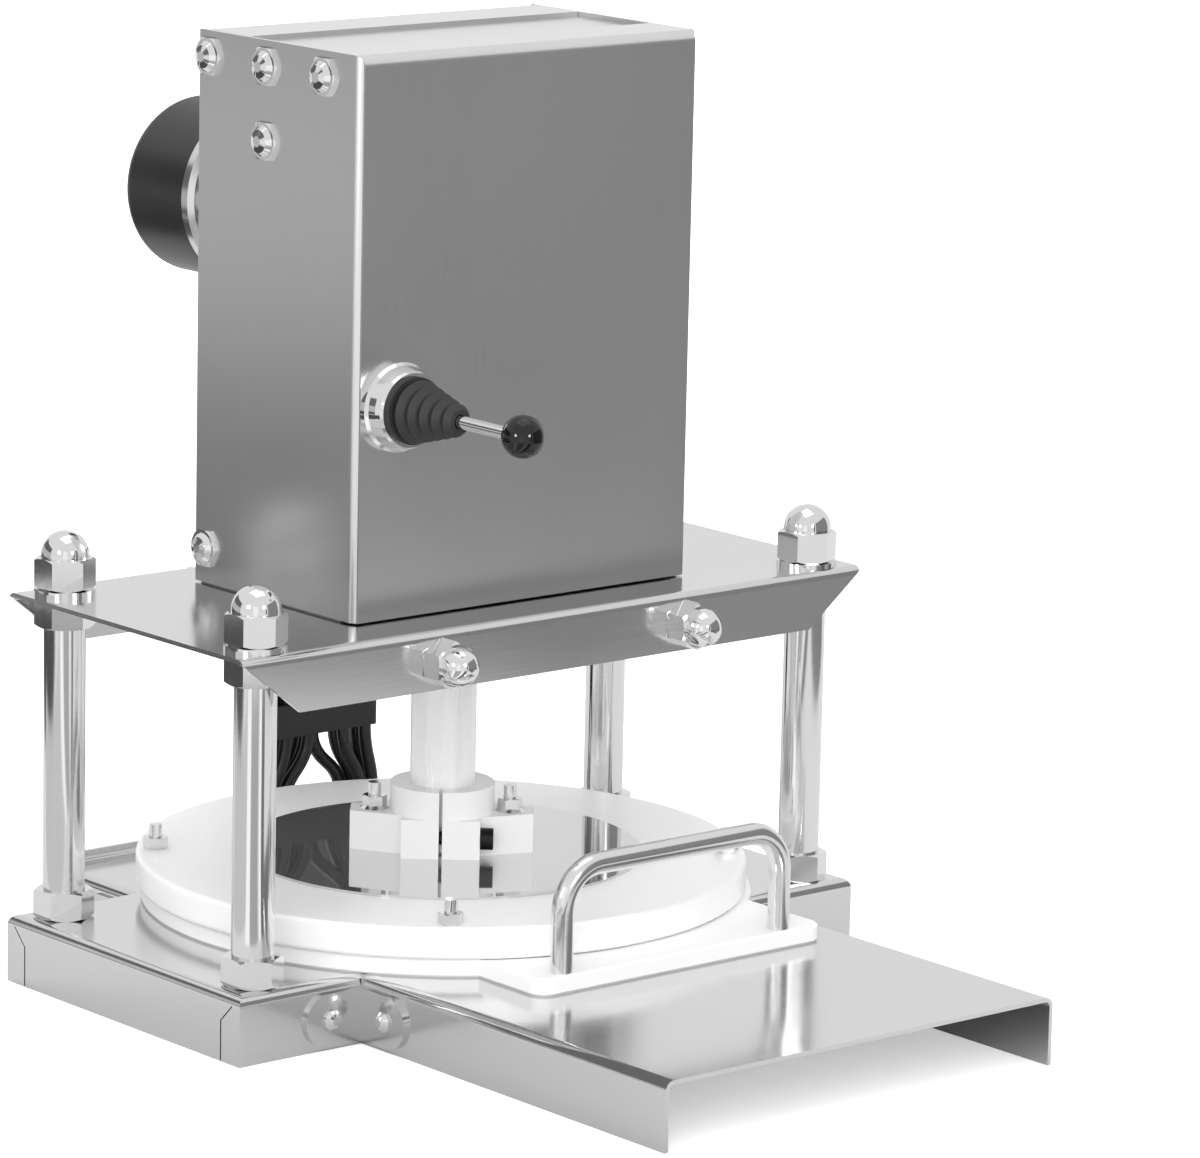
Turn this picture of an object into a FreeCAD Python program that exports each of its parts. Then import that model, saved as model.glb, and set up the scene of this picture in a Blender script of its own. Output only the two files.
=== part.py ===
import FreeCAD, Part
import math
import os
from FreeCAD import Vector

# Electric press for pizza dough, in millimetres.
# X runs to the operator's right, Y away from the operator and Z up from the bench.
# Places are measured from the machine axis, midway between the four columns.

# Folded sheet and fits
sheet = 2.0
base_bend = 4.5
plate_bend = 4.0
housing_bend = 5.0
panel_bend = 4.0
fixed_gap = 0.15
running_gap = 0.05
clear_gap = 0.3
hole_gap = 0.5

# Base, a cross in plan
base_width = 357.4
base_depth = 174.6
base_height = 31.0
channel_width = 223.4
channel_front = 291.0
channel_rear = 147.0
rear_lip = 5.0
corner_relief = 2.0
seam_from_corner = 14.0
seam_width = 0.8
seam_slant = 8.0

# Corner brackets
bracket_leg = 32.0
bracket_height = 24.0
bracket_from_bench = 2.0
bracket_bolt_from_corner = 18.0
bracket_bolt_dia = 5.0
bracket_head_dia = 9.0
bracket_head_height = 3.2
bracket_nut_flats = 8.0
bracket_nut_height = 4.0

# Bars under the base
beam_end_gap = 6.7
beam_width = 24.0
beam_thickness = 10.0

# Columns and their nuts
column_inset_x = 19.2
column_inset_y = 16.6
column_dia = 19.0
column_thread = 16.0
column_nut_flats = 24.0
column_nut_height = 13.0
column_tail = 2.0
washer_dia = 28.0
washer_thickness = 2.5
acorn_hex_height = 14.0
acorn_height = 26.0
acorn_dome_dia = 22.0

# Top plate
plate_top = 180.2
plate_inset_x = 0.2
plate_inset_y = 0.1
plate_flange = 26.4
plate_end_slant = 31.0

# Tie rods through the flanges of the top plate
tie_pitch = 141.0
tie_below_top = 13.7
tie_dia = 12.0
tie_nut_flats = 19.0
tie_locknut_height = 6.0
tie_acorn_hex = 11.0
tie_acorn_height = 22.0
tie_dome_dia = 17.5

# Housing
housing_width = 192.6
housing_depth = 116.4
housing_top = 431.0
housing_foot_gap = 0.8
top_flange_front = 36.2
top_flange_rear = 34.2
cover_lap = 16.0

# Frame in the housing
rail_thickness = 8.0
rail_front = 46.0
gear_plate_thickness = 10.0
frame_bolt_dia = 8.0
frame_bolt_flats = 16.5
frame_bolt_hex = 1.8
frame_bolt_dome = 3.2
frame_bolt_row = 419.5
frame_bolt_first = -32.0
frame_bolt_pitch = 41.5
frame_bolt_drop = 33.0
frame_bolt_low = 197.0

# Ram and its guide
ram_y = -3.0
ram_dia = 30.0
bush_dia = 42.0
bush_low = 162.0
bush_high = 214.0
bush_flange_dia = 64.0
bush_flange = 6.0
bush_screw_circle = 53.0
bush_screw_dia = 5.0

# Rack and pinion
tooth_module = 2.0
pinion_teeth = 15
pressure_angle = 20.0
tooth_play = 0.3
rack_addendum = 0.8
tooth_root = 1.25
drive_height = 345.0
rack_low = 268.0
rack_high = 362.0
gear_width = 20.0
rack_screw_dia = 5.0
rack_screw_head = 8.5
rack_screw_head_height = 5.0
rack_screw_seat = 6.0
rack_screw_inset = 17.0
guide_length = 30.0
guide_height = 32.0
guide_face = 6.0

# Output shaft, bearings and gearmotor
pinion_shaft_dia = 15.0
bearing_dia = 35.0
bearing_width = 10.0
shaft_front_overhang = 3.0
shaft_motor_depth = 14.0
key_width = 5.0
key_height = 5.0
key_depth = 3.0
motor_dia = 82.0
motor_body_dia = 77.0
motor_flange = 7.0
motor_body_length = 54.0
motor_rim = 4.5
cowl_length = 48.0
cowl_edge = 9.0
motor_screw_dia = 6.0
motor_screw_circle = 62.0
motor_screw_depth = 14.0

# Limit switches
switch_size = (28.0, 10.0, 16.0)
switch_x = 58.0
switch_heights = (236.0, 300.0)
switch_button = 3.0

# Joystick
stick_x = -74.6
stick_z = 276.0
bezel_dia = 40.0
bezel_length = 12.0
bezel_front_dia = 33.0
neck_dia = 22.0
neck_shoulder = 28.0
neck_shoulder_thickness = 4.0
switch_block = (22.0, 30.0, 30.0)
pivot_out = 4.0
pivot_dia = 3.0
eye_dia = 9.0
eye_width = 9.0
fork_slot = 10.0
fork_reach = 9.0
lever_dia = 6.0
ball_dia = 19.0
ball_out = 87.4
boot_foot_dia = 30.0
boot_foot = 2.0
boot_big_dia = 28.0
boot_small_dia = 15.0
boot_end = 45.0
boot_ribs = 5
boot_groove = 2.2
boot_wall = 2.5

# Press head
disc_radius = 140.0
disc_thickness = 14.5
disc_edge = 2.0
mirror_radius = 92.0
mirror_thickness = 1.2
disc_bolt_radius = 131.0
disc_bolt_angle = 233.0
disc_bolt_count = 4
disc_bolt_dia = 6.0
disc_nut_flats = 10.0
disc_nut_height = 5.0
disc_bolt_high = 11.0
disc_bolt_sink = 11.0
hub_turn = -40.5
hub_collar_dia = 48.0
hub_height = 31.0
hub_lobe_height = 18.0
hub_lobe_width = 36.0
hub_lobe_reach = 24.0
hub_ear_reach = 42.0
hub_ear_root = 37.0
hub_ear_tip = 14.0
hub_ear_lap = 8.0
hub_bolt_out = 31.0
hub_nut_flats = 10.0
hub_nut_flange_dia = 13.4
hub_nut_flange = 1.5
hub_nut_height = 6.0
hub_bolt_high = 12.0
hub_slit = 1.6
clamp_screw_dia = 6.0
clamp_head_dia = 10.0
clamp_head = 6.0
clamp_screw_end = 4.0

# Dough tray
board_thickness = 8.0
board_radius = 140.0
board_x = 3.0
board_front = 163.0
tab_left = -73.0
tab_right = 93.0
tab_corner = 8.0
board_edge = 2.0
handle_dia = 10.0
handle_left = -56.0
handle_right = 70.5
handle_inset = 6.5
handle_top = 90.0
handle_bend = 19.0
handle_screw_dia = 5.0
handle_screw_head = 9.5
handle_screw_head_height = 3.0
handle_screw_reach = 14.0

# Power cord: gland in the back panel, free stretch, coil behind the base and plug
cord_dia = 6.4
gland_x = 12.0
gland_z = 205.0
gland_hex = 18.0
gland_hex_height = 6.0
gland_dia = 15.0
gland_shoulder = 4.0
gland_taper = 5.0
gland_tip_dia = 9.6
gland_length = 32.8
gland_neck_dia = 12.0
coil_widest = 36.0
coil_pitch = 7.2
coil_turns = 5
coil_draw = 36.0
coil_waist = 16.0
coil_waist_inner = 0.6
coil_waist_spread = 1.85
coil_from_base = 0.6
plug_width = 30.0
plug_thickness = 14.0
plug_body = 38.0
plug_corner = 5.0
plug_relief = 14.0
plug_pin_dia = 4.8
plug_pin_length = 18.0
plug_pin_pitch = 19.0
tie_band_width = 16.0
tie_band = 1.4

# Free stretch from the gland down to the coil, then from the coil to the plug: X, Y and Z
cord_leaves = 66.0
cord_down = (
    (12.0, 91.0, 205.0),
    (12.0, 110.0, 205.0),
    (12.5, 130.5, 200.0),
    (13.0, 147.0, 187.0),
    (12.4, 156.0, 168.0),
    (12.0, 158.0, 147.0),
)
cord_out = (
    (14.1, 150.8, 49.2),
    (7.7, 151.8, 33.7),
    (-4.2, 153.2, 21.8),
    (-19.7, 154.4, 15.3),
    (-36.0, 154.4, 15.3),
)

# Values that follow from the sizes above
base_top = base_height
plate_under = plate_top - sheet
board_top = base_top + board_thickness
disc_low = board_top + clear_gap
disc_top = disc_low + disc_thickness
mirror_top = disc_top + mirror_thickness
column_x = base_width / 2 - column_inset_x
column_y = base_depth / 2 - column_inset_y
column_xs = (-column_x, column_x)
column_ys = (-column_y, column_y)
plate_width = base_width - 2 * plate_inset_x
plate_depth = base_depth - 2 * plate_inset_y
beam_length = base_width - 2 * (sheet + beam_end_gap)
side_outer = housing_width / 2
side_inner = side_outer - sheet
front_outer = -housing_depth / 2
front_inner = front_outer + sheet
back_outer = housing_depth / 2
back_inner = back_outer - sheet
cover_top = housing_top - sheet
frame_top = cover_top - sheet
rail_inner = side_inner - rail_thickness
pitch_radius = tooth_module * pinion_teeth / 2
tooth_pitch = math.pi * tooth_module
rack_pitch_x = -(tooth_root + 3.75) * tooth_module
pinion_x = rack_pitch_x - pitch_radius
motor_end = back_outer + motor_body_length + cowl_length
origin_shift = (channel_front - motor_end) / 2


def box(x0, x1, y0, y1, z0, z1):
    return Part.makeBox(x1 - x0, y1 - y0, z1 - z0, Vector(x0, y0, z0))


def bar(radius, start, end):
    reach = end - start
    return Part.makeCylinder(radius, reach.Length, start, reach)


def upright(radius, x, y, z0, z1):
    return Part.makeCylinder(radius, z1 - z0, Vector(x, y, z0))


def prism(points, reach):
    face = Part.Face(Part.makePolygon(points + [points[0]]))
    return face.extrude(reach)


def turned(profile):
    """Turn a closed outline of (radius, height) pairs about the Z axis."""
    points = [Vector(r, 0, z) for r, z in profile]
    face = Part.Face(Part.makePolygon(points + [points[0]]))
    return face.revolve(Vector(0, 0, 0), Vector(0, 0, 1), 360)


def aim(shape, place, direction, turn=0):
    """Turn a shape made along +Z to point along the direction, standing at the place."""
    copy = shape.copy()
    copy.rotate(Vector(0, 0, 0), Vector(0, 0, 1), turn)
    swing = FreeCAD.Placement(place, FreeCAD.Rotation(Vector(0, 0, 1), direction))
    copy.Placement = swing.multiply(copy.Placement)
    return copy


def run_edges(shape, axis, height):
    """Straight edges along one axis whose ends both lie at the given height."""
    found = []
    for edge in shape.Edges:
        ends = [vertex.Point for vertex in edge.Vertexes]
        if len(ends) != 2:
            continue
        if abs(ends[0].z - height) > 0.01 or abs(ends[1].z - height) > 0.01:
            continue
        if (ends[1] - ends[0]).cross(axis).Length < 0.01:
            found.append(edge)
    return found


def folded_block(x0, x1, y0, y1, z0, z1, radius, axis):
    """A block whose two top edges along the axis are rounded as a fold."""
    block = box(x0, x1, y0, y1, z0, z1)
    return block.makeFillet(radius, run_edges(block, axis, z1))


def hexagon(flats, height):
    points = []
    for corner in range(6):
        angle = math.radians(60 * corner + 30)
        reach = flats / math.sqrt(3)
        points.append(Vector(reach * math.cos(angle), reach * math.sin(angle), 0))
    return prism(points, Vector(0, 0, height))


def hex_nut(flats, height, bore, both_ends=True):
    """A hexagon with its corners turned off, and a hole if the bore is not zero."""
    corner = flats / math.sqrt(3)
    drop = (corner - flats / 2) * math.tan(math.radians(30))
    foot = flats / 2 if both_ends else corner
    profile = [(0, 0), (foot, 0), (corner, drop if both_ends else 0.01)]
    profile += [(corner, height - drop), (flats / 2, height), (0, height)]
    nut = hexagon(flats, height).common(turned(profile))
    if bore > 0:
        nut = nut.cut(Part.makeCylinder(bore / 2, height, Vector(0, 0, 0)))
    return nut


def acorn_nut(flats, hex_height, height, dome_dia, thread):
    """A domed nut, open below for the thread."""
    radius = dome_dia / 2
    straight = height - radius
    dome = Part.makeCylinder(radius, straight).fuse(Part.makeSphere(radius, Vector(0, 0, straight)))
    dome = dome.common(Part.makeCylinder(radius + 1, height))
    nut = hex_nut(flats, hex_height, 0).fuse(dome).removeSplitter()
    depth = height - radius * 0.55
    return nut.cut(Part.makeCylinder(thread / 2 + fixed_gap, depth))


def save(node, shapes):
    """Write one node, a solid or a group of solids, in the finished part's frame."""
    solids = shapes if isinstance(shapes, list) else [shapes]
    moved = []
    for shape in solids:
        for solid in shape.Solids:
            copy = solid.copy()
            copy.translate(Vector(0, origin_shift, 0))
            moved.append(copy)
    whole = moved[0] if len(moved) == 1 else Part.makeCompound(moved)
    whole.exportStep("parts/" + node + ".step")
    print(node, len(moved), "solids", round(whole.Volume / 1000, 2), "cm3", whole.isValid())


def base_cross(inset, drop, radius):
    """The base's outline as a solid cross with folded edges, drawn in by the inset."""
    half_x = base_width / 2 - inset
    half_y = base_depth / 2 - inset
    half_channel = channel_width / 2 - inset
    top = base_top - inset
    along_x = folded_block(-half_x, half_x, -half_y, half_y, drop, top, radius, Vector(1, 0, 0))
    along_y = folded_block(-half_x, half_x, -half_y, half_y, drop, top, radius, Vector(0, 1, 0))
    ends = inset * 0.5
    channel = folded_block(-half_channel, half_channel, -channel_front - ends, channel_rear + ends,
                           drop, top, radius, Vector(0, 1, 0))
    return along_x.common(along_y).fuse(channel)


def make_base():
    tray = base_cross(0, 0, base_bend).cut(base_cross(sheet, -1, base_bend - sheet)).fuse(make_rear_lip())
    for x in column_xs:
        for y in column_ys:
            tray = tray.cut(upright(column_thread / 2 + hole_gap, x, y, 0, base_top + 1))
    for side_x in (-1, 1):
        for side_y in (-1, 1):
            x = side_x * channel_width / 2
            y = side_y * base_depth / 2
            half = corner_relief / 2
            tray = tray.cut(box(x - half, x + half, y - half, y + half, base_top - base_bend, base_top + 1))
            tray = tray.cut(corner_seam(side_x, side_y))
            tray = cut_bracket_bolts(tray, side_x, side_y)
    return tray


def make_rear_lip():
    """Low lip folded up at the end of the rear channel, which stops the dough board."""
    half = channel_width / 2 - base_bend
    lip = box(-half, half, channel_rear - sheet, channel_rear, base_top, base_top + rear_lip)
    root = box(-half, half, channel_rear - base_bend, channel_rear, base_top, base_top + base_bend - sheet)
    hollow = bar(base_bend - sheet, Vector(-half, channel_rear - base_bend, base_top + base_bend - sheet),
                 Vector(half, channel_rear - base_bend, base_top + base_bend - sheet))
    return lip.fuse(root.cut(hollow)).removeSplitter()


def corner_seam(side_x, side_y):
    """The slit where the end flange laps round the corner of the base."""
    corner_y = side_y * base_depth / 2
    knee = base_top - base_bend - seam_slant
    line = [(seam_from_corner, -1), (seam_from_corner, knee), (seam_from_corner - seam_slant, knee + seam_slant)]
    back = [(distance - seam_width, height) for distance, height in reversed(line)]
    outer = side_x * (base_width / 2 + 1)
    points = [Vector(outer, corner_y - side_y * distance, height) for distance, height in line + back]
    return prism(points, Vector(-side_x * (sheet + 2), 0, 0))


def bracket_bolt_lines(side_x, side_y):
    """Seat and outward direction of the two bolts of one corner bracket."""
    x = side_x * channel_width / 2
    y = side_y * base_depth / 2
    height = bracket_from_bench + bracket_height / 2
    on_base = Vector(x + side_x * bracket_bolt_from_corner, y, height)
    on_channel = Vector(x, y + side_y * bracket_bolt_from_corner, height)
    return [(on_base, Vector(0, side_y, 0)), (on_channel, Vector(side_x, 0, 0))]


def cut_bracket_bolts(shape, side_x, side_y):
    """Holes for one corner's two bolts, through the flange and the bracket."""
    reach = 3 * sheet
    for seat, out in bracket_bolt_lines(side_x, side_y):
        shape = shape.cut(bar(bracket_bolt_dia / 2 + fixed_gap, seat - out * reach, seat + out * reach))
    return shape


def bracket_leg_plate():
    """One leg of a bracket, lying along +X with its outer end rounded."""
    half = bracket_height / 2
    plate = box(0, bracket_leg - half, 0, sheet, -half, half)
    end = Part.makeCylinder(half, sheet, Vector(bracket_leg - half, 0, 0), Vector(0, 1, 0))
    return plate.fuse(end).removeSplitter()


def make_brackets():
    """Folded angles in the four inner corners of the cross."""
    half = bracket_height / 2
    leg = bracket_leg_plate()
    other = leg.mirror(Vector(0, 0, 0), Vector(1, -1, 0))
    angle = leg.fuse(other).removeSplitter()
    brackets = []
    for side_x in (-1, 1):
        for side_y in (-1, 1):
            piece = angle.copy()
            if side_x < 0:
                piece = piece.mirror(Vector(0, 0, 0), Vector(1, 0, 0))
            if side_y < 0:
                piece = piece.mirror(Vector(0, 0, 0), Vector(0, 1, 0))
            piece.translate(Vector(side_x * channel_width / 2, side_y * base_depth / 2,
                                   bracket_from_bench + half))
            brackets.append(cut_bracket_bolts(piece, side_x, side_y))
    return brackets


def make_bracket_bolts():
    """Low domed bolts, each with its nut on the inside of the flange."""
    head = turned([(0, 0), (bracket_head_dia / 2, 0), (bracket_head_dia / 2, 1.0),
                   (bracket_head_dia * 0.36, bracket_head_height * 0.8),
                   (bracket_head_dia * 0.2, bracket_head_height), (0, bracket_head_height)])
    inside = 2 * sheet + bracket_nut_height
    shank = Part.makeCylinder(bracket_bolt_dia / 2, inside, Vector(0, 0, -inside))
    nut = hexagon(bracket_nut_flats, bracket_nut_height)
    nut.translate(Vector(0, 0, -inside))
    bolt = head.fuse(shank).fuse(nut).removeSplitter()
    bolts = []
    for side_x in (-1, 1):
        for side_y in (-1, 1):
            for seat, out in bracket_bolt_lines(side_x, side_y):
                bolts.append(aim(bolt, seat + out * sheet, out))
    return bolts


def make_beam(side_y):
    y = side_y * column_y
    top = base_top - sheet
    beam = box(-beam_length / 2, beam_length / 2, y - beam_width / 2, y + beam_width / 2,
               top - beam_thickness, top)
    for x in column_xs:
        beam = beam.cut(upright(column_thread / 2 + hole_gap, x, y, 0, top))
    return beam


def foot_nut_low():
    return base_top - sheet - beam_thickness - column_nut_height


def make_column(x, y):
    thread = column_thread / 2
    foot = base_top + column_nut_height
    head = plate_under - column_nut_height
    top = plate_top + washer_thickness + acorn_hex_height
    column = upright(thread, x, y, foot_nut_low() - column_tail, foot)
    column = column.fuse(upright(column_dia / 2, x, y, foot, head))
    return column.fuse(upright(thread, x, y, head, top))


def make_column_hardware():
    bore = column_thread + 2 * fixed_gap
    nut = hex_nut(column_nut_flats, column_nut_height, bore)
    acorn = acorn_nut(column_nut_flats, acorn_hex_height, acorn_height, acorn_dome_dia, column_thread)
    washer = turned([(bore / 2, 0), (washer_dia / 2, 0), (washer_dia / 2, washer_thickness),
                     (bore / 2, washer_thickness)])
    rows = {"foot_nuts": [], "plate_nuts": [], "plate_washers": [], "acorn_nuts": []}
    for x in column_xs:
        for y in column_ys:
            rows["foot_nuts"].append(aim(nut, Vector(x, y, base_top), Vector(0, 0, 1)))
            rows["foot_nuts"].append(aim(nut, Vector(x, y, foot_nut_low()), Vector(0, 0, 1)))
            rows["plate_nuts"].append(aim(nut, Vector(x, y, plate_under - column_nut_height), Vector(0, 0, 1)))
            rows["plate_washers"].append(aim(washer, Vector(x, y, plate_top), Vector(0, 0, 1)))
            seat = Vector(x, y, plate_top + washer_thickness)
            rows["acorn_nuts"].append(aim(acorn, seat, Vector(0, 0, 1)))
    return rows


def tie_places():
    return [(-tie_pitch / 2, plate_top - tie_below_top), (tie_pitch / 2, plate_top - tie_below_top)]


def make_top_plate():
    half_x = plate_width / 2
    half_y = plate_depth / 2
    low = plate_top - plate_flange
    outer = folded_block(-half_x, half_x, -half_y, half_y, low, plate_top, plate_bend, Vector(1, 0, 0))
    inner = folded_block(-half_x - 1, half_x + 1, -half_y + sheet, half_y - sheet, low - 1, plate_under,
                         plate_bend - sheet, Vector(1, 0, 0))
    plate = outer.cut(inner)
    for side in (-1, 1):
        corner = [Vector(side * (half_x + 1), -half_y - 1, low - 1),
                  Vector(side * (half_x + 1), -half_y - 1, plate_under),
                  Vector(side * half_x, -half_y - 1, plate_under),
                  Vector(side * (half_x - plate_end_slant), -half_y - 1, low),
                  Vector(side * (half_x - plate_end_slant), -half_y - 1, low - 1)]
        plate = plate.cut(prism(corner, Vector(0, plate_depth + 2, 0)))
        for y in column_ys:
            x = side * column_x
            plate = plate.cut(upright(column_thread / 2 + hole_gap, x, y, plate_under - 1, plate_top + 1))
    plate = plate.cut(upright(bush_dia / 2 + fixed_gap, 0, ram_y, plate_under - 1, plate_top + 1))
    for x, y in bush_screw_places():
        plate = plate.cut(upright(bush_screw_dia / 2 + fixed_gap, x, y, plate_under - 1, plate_top + 1))
    for x, z in tie_places():
        plate = plate.cut(bar(tie_dia / 2 + fixed_gap, Vector(x, -half_y - 1, z), Vector(x, half_y + 1, z)))
    return plate


def make_tie_hardware():
    half_y = plate_depth / 2
    bore = tie_dia + 2 * fixed_gap
    locknut = hex_nut(tie_nut_flats, tie_locknut_height, bore)
    acorn = acorn_nut(tie_nut_flats, tie_acorn_hex, tie_acorn_height, tie_dome_dia, tie_dia)
    rods = []
    locknuts = []
    acorns = []
    for x, z in tie_places():
        reach = half_y + tie_acorn_hex
        rods.append(bar(tie_dia / 2, Vector(x, -reach, z), Vector(x, reach, z)))
        for side in (-1, 1):
            out = Vector(0, side, 0)
            acorns.append(aim(acorn, Vector(x, side * half_y, z), out))
            locknuts.append(aim(locknut, Vector(x, side * (half_y - sheet), z), out * -1, turn=30))
    return rods, locknuts, acorns


def frame_bolt_places():
    """Y and Z of the five bolts in each side of the housing."""
    row = [(frame_bolt_first + n * frame_bolt_pitch, frame_bolt_row) for n in range(3)]
    middle = (row[1][0], frame_bolt_row - frame_bolt_drop)
    low = (row[2][0], frame_bolt_low)
    return row + [middle, low]


def cut_frame_bolts(shape):
    for y, z in frame_bolt_places():
        line = bar(frame_bolt_dia / 2 + fixed_gap, Vector(-side_outer - 1, y, z), Vector(side_outer + 1, y, z))
        shape = shape.cut(line)
    return shape


def rounded_plan(x0, x1, y0, y1, z0, z1, radius):
    """A block whose two upright front edges are rounded."""
    block = box(x0, x1, y0, y1, z0, z1)
    chosen = []
    for edge in block.Edges:
        ends = [vertex.Point for vertex in edge.Vertexes]
        if all(abs(p.y - y0) < 0.01 for p in ends) and abs(ends[0].z - ends[1].z) > 1:
            chosen.append(edge)
    return block.makeFillet(radius, chosen)


def make_housing_shell():
    """Front and sides in one sheet, with a flange folded back over the top."""
    foot = plate_top + housing_foot_gap
    outer = rounded_plan(-side_outer, side_outer, front_outer, back_outer, foot, housing_top, housing_bend)
    inner = rounded_plan(-side_inner, side_inner, front_inner, back_outer + 1, foot - 1, housing_top + 1,
                         housing_bend - sheet)
    shell = outer.cut(inner)
    flange = folded_block(-side_inner, side_inner, front_outer, front_outer + top_flange_front,
                          foot, housing_top, housing_bend, Vector(1, 0, 0))
    hollow = folded_block(-side_inner - 1, side_inner + 1, front_inner, back_outer, foot - 1, cover_top,
                          housing_bend - sheet, Vector(1, 0, 0))
    lip = flange.cut(hollow).cut(box(-side_outer, side_outer, front_inner + housing_bend, back_outer,
                                     foot, cover_top - 0.01))
    keep = box(-side_outer, side_outer, front_outer - 1, back_outer + 1, foot, housing_top - housing_bend)
    upper = box(-side_outer, side_outer, front_outer - 1, front_outer + housing_bend,
                housing_top - housing_bend, housing_top)
    rolled = shell.common(upper).common(folded_block(-side_outer, side_outer, front_outer, back_outer,
                                                     foot, housing_top, housing_bend, Vector(1, 0, 0)))
    sides = shell.cut(keep).cut(upper)
    shell = shell.common(keep).fuse(sides).fuse(rolled).fuse(lip).removeSplitter()
    shell = shell.cut(bar(neck_dia / 2 + fixed_gap, Vector(stick_x, front_outer - 1, stick_z),
                          Vector(stick_x, front_inner + 1, stick_z)))
    return cut_frame_bolts(shell)


def motor_screw_places():
    places = []
    for n in range(4):
        angle = math.radians(45 + 90 * n)
        radius = motor_screw_circle / 2
        places.append((pinion_x + radius * math.cos(angle), drive_height + radius * math.sin(angle)))
    return places


def make_back_panel():
    foot = plate_top + housing_foot_gap
    half = side_inner - fixed_gap
    block = box(-half, half, back_outer - top_flange_rear, back_outer, foot, housing_top)
    edges = [edge for edge in run_edges(block, Vector(1, 0, 0), housing_top)
             if abs(edge.Vertexes[0].Point.y - back_outer) < 0.01]
    block = block.makeFillet(panel_bend, edges)
    hollow = box(-half - 1, half + 1, back_outer - top_flange_rear - 1, back_inner, foot - 1, cover_top)
    edges = [edge for edge in run_edges(hollow, Vector(1, 0, 0), cover_top)
             if abs(edge.Vertexes[0].Point.y - back_inner) < 0.01]
    panel = block.cut(hollow.makeFillet(panel_bend - sheet, edges))
    centre = Vector(pinion_x, back_inner - 1, drive_height)
    panel = panel.cut(bar(pinion_shaft_dia, centre, centre + Vector(0, sheet + 2, 0)))
    for x, z in motor_screw_places():
        start = Vector(x, back_inner - 1, z)
        panel = panel.cut(bar(motor_screw_dia / 2 + fixed_gap, start, start + Vector(0, sheet + 2, 0)))
    return panel.cut(gland_hole())


def gland_hole():
    """The way of the cord through the panel and the rear gear plate."""
    start = Vector(gland_x, back_inner - gear_plate_thickness - 1, gland_z)
    end = Vector(gland_x, back_outer + 1, gland_z)
    return bar(gland_neck_dia / 2 + fixed_gap, start, end)


def make_top_cover():
    half = side_inner - fixed_gap
    front = front_outer + top_flange_front - cover_lap
    rear = back_outer - top_flange_rear + cover_lap
    return box(-half, half, front, rear, frame_top, cover_top)


def make_side_rail(side):
    x0, x1 = sorted((side * rail_inner, side * side_inner))
    rail = box(x0, x1, -rail_front, back_inner, plate_top, frame_top)
    return cut_frame_bolts(rail)


def make_frame_bolts():
    hexed = hex_nut(frame_bolt_flats, frame_bolt_hex, 0, both_ends=False)
    radius = frame_bolt_flats * 0.42
    cap = turned([(0, 0), (radius, 0), (radius * 0.75, frame_bolt_dome * 0.7),
                  (radius * 0.35, frame_bolt_dome), (0, frame_bolt_dome)])
    cap.translate(Vector(0, 0, frame_bolt_hex))
    depth = sheet + rail_thickness - clear_gap
    shank = Part.makeCylinder(frame_bolt_dia / 2, depth, Vector(0, 0, -depth))
    bolt = hexed.fuse(cap).fuse(shank).removeSplitter()
    bolts = []
    for side in (-1, 1):
        for y, z in frame_bolt_places():
            bolts.append(aim(bolt, Vector(side * side_outer, y, z), Vector(side, 0, 0)))
    return bolts


def make_gear_plates():
    """Two upright plates that carry the output shaft, the front one cut out for the joystick."""
    front = box(-rail_inner, rail_inner, -rail_front, -rail_front + gear_plate_thickness, plate_top, frame_top)
    room = 3.0
    x_cut = stick_x + switch_block[0] / 2 + room
    z_cut = switch_block[2] / 2 + room
    front = front.cut(box(-rail_inner - 1, x_cut, -rail_front - 1, -rail_front + gear_plate_thickness + 1,
                          stick_z - z_cut, stick_z + z_cut))
    rear = box(-rail_inner, rail_inner, back_inner - gear_plate_thickness, back_inner, plate_top, frame_top)
    seat = bearing_dia / 2 + fixed_gap
    bore = bar(seat, Vector(pinion_x, -rail_front - 1, drive_height), Vector(pinion_x, back_inner + 1, drive_height))
    front = front.cut(bore)
    rear = rear.cut(bore)
    for x, z in motor_screw_places():
        rear = rear.cut(bar(motor_screw_dia / 2 + fixed_gap, Vector(x, 0, z), Vector(x, back_inner + 1, z)))
    return front, rear.cut(gland_hole())


def bush_screw_places():
    radius = bush_screw_circle / 2
    angles = [math.radians(45 + 90 * n) for n in range(4)]
    return [(radius * math.cos(a), ram_y + radius * math.sin(a)) for a in angles]


def make_bush():
    bore = ram_dia / 2 + running_gap
    flange_top = plate_top + bush_flange
    bush = turned([(bore, bush_low), (bush_dia / 2, bush_low), (bush_dia / 2, plate_top),
                   (bush_flange_dia / 2, plate_top), (bush_flange_dia / 2, flange_top),
                   (bush_dia / 2, flange_top), (bush_dia / 2, bush_high), (bore, bush_high)])
    bush.translate(Vector(0, ram_y, 0))
    for x, y in bush_screw_places():
        bush = bush.cut(upright(bush_screw_dia / 2 + fixed_gap, x, y, plate_top - 1, flange_top + 1))
    return bush


def make_bush_screws():
    """Screws down through the flange and the top plate, each into a nut below."""
    seat = plate_top + bush_flange
    low = plate_under - bracket_nut_height
    head = bush_screw_dia * 0.8
    screws = []
    for x, y in bush_screw_places():
        screw = upright(bush_screw_dia / 2, x, y, low, seat).fuse(upright(head, x, y, seat, seat + head))
        nut = hexagon(bracket_nut_flats, bracket_nut_height)
        nut.translate(Vector(x, y, low))
        screws.append(screw.fuse(nut).removeSplitter())
    return screws


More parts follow.
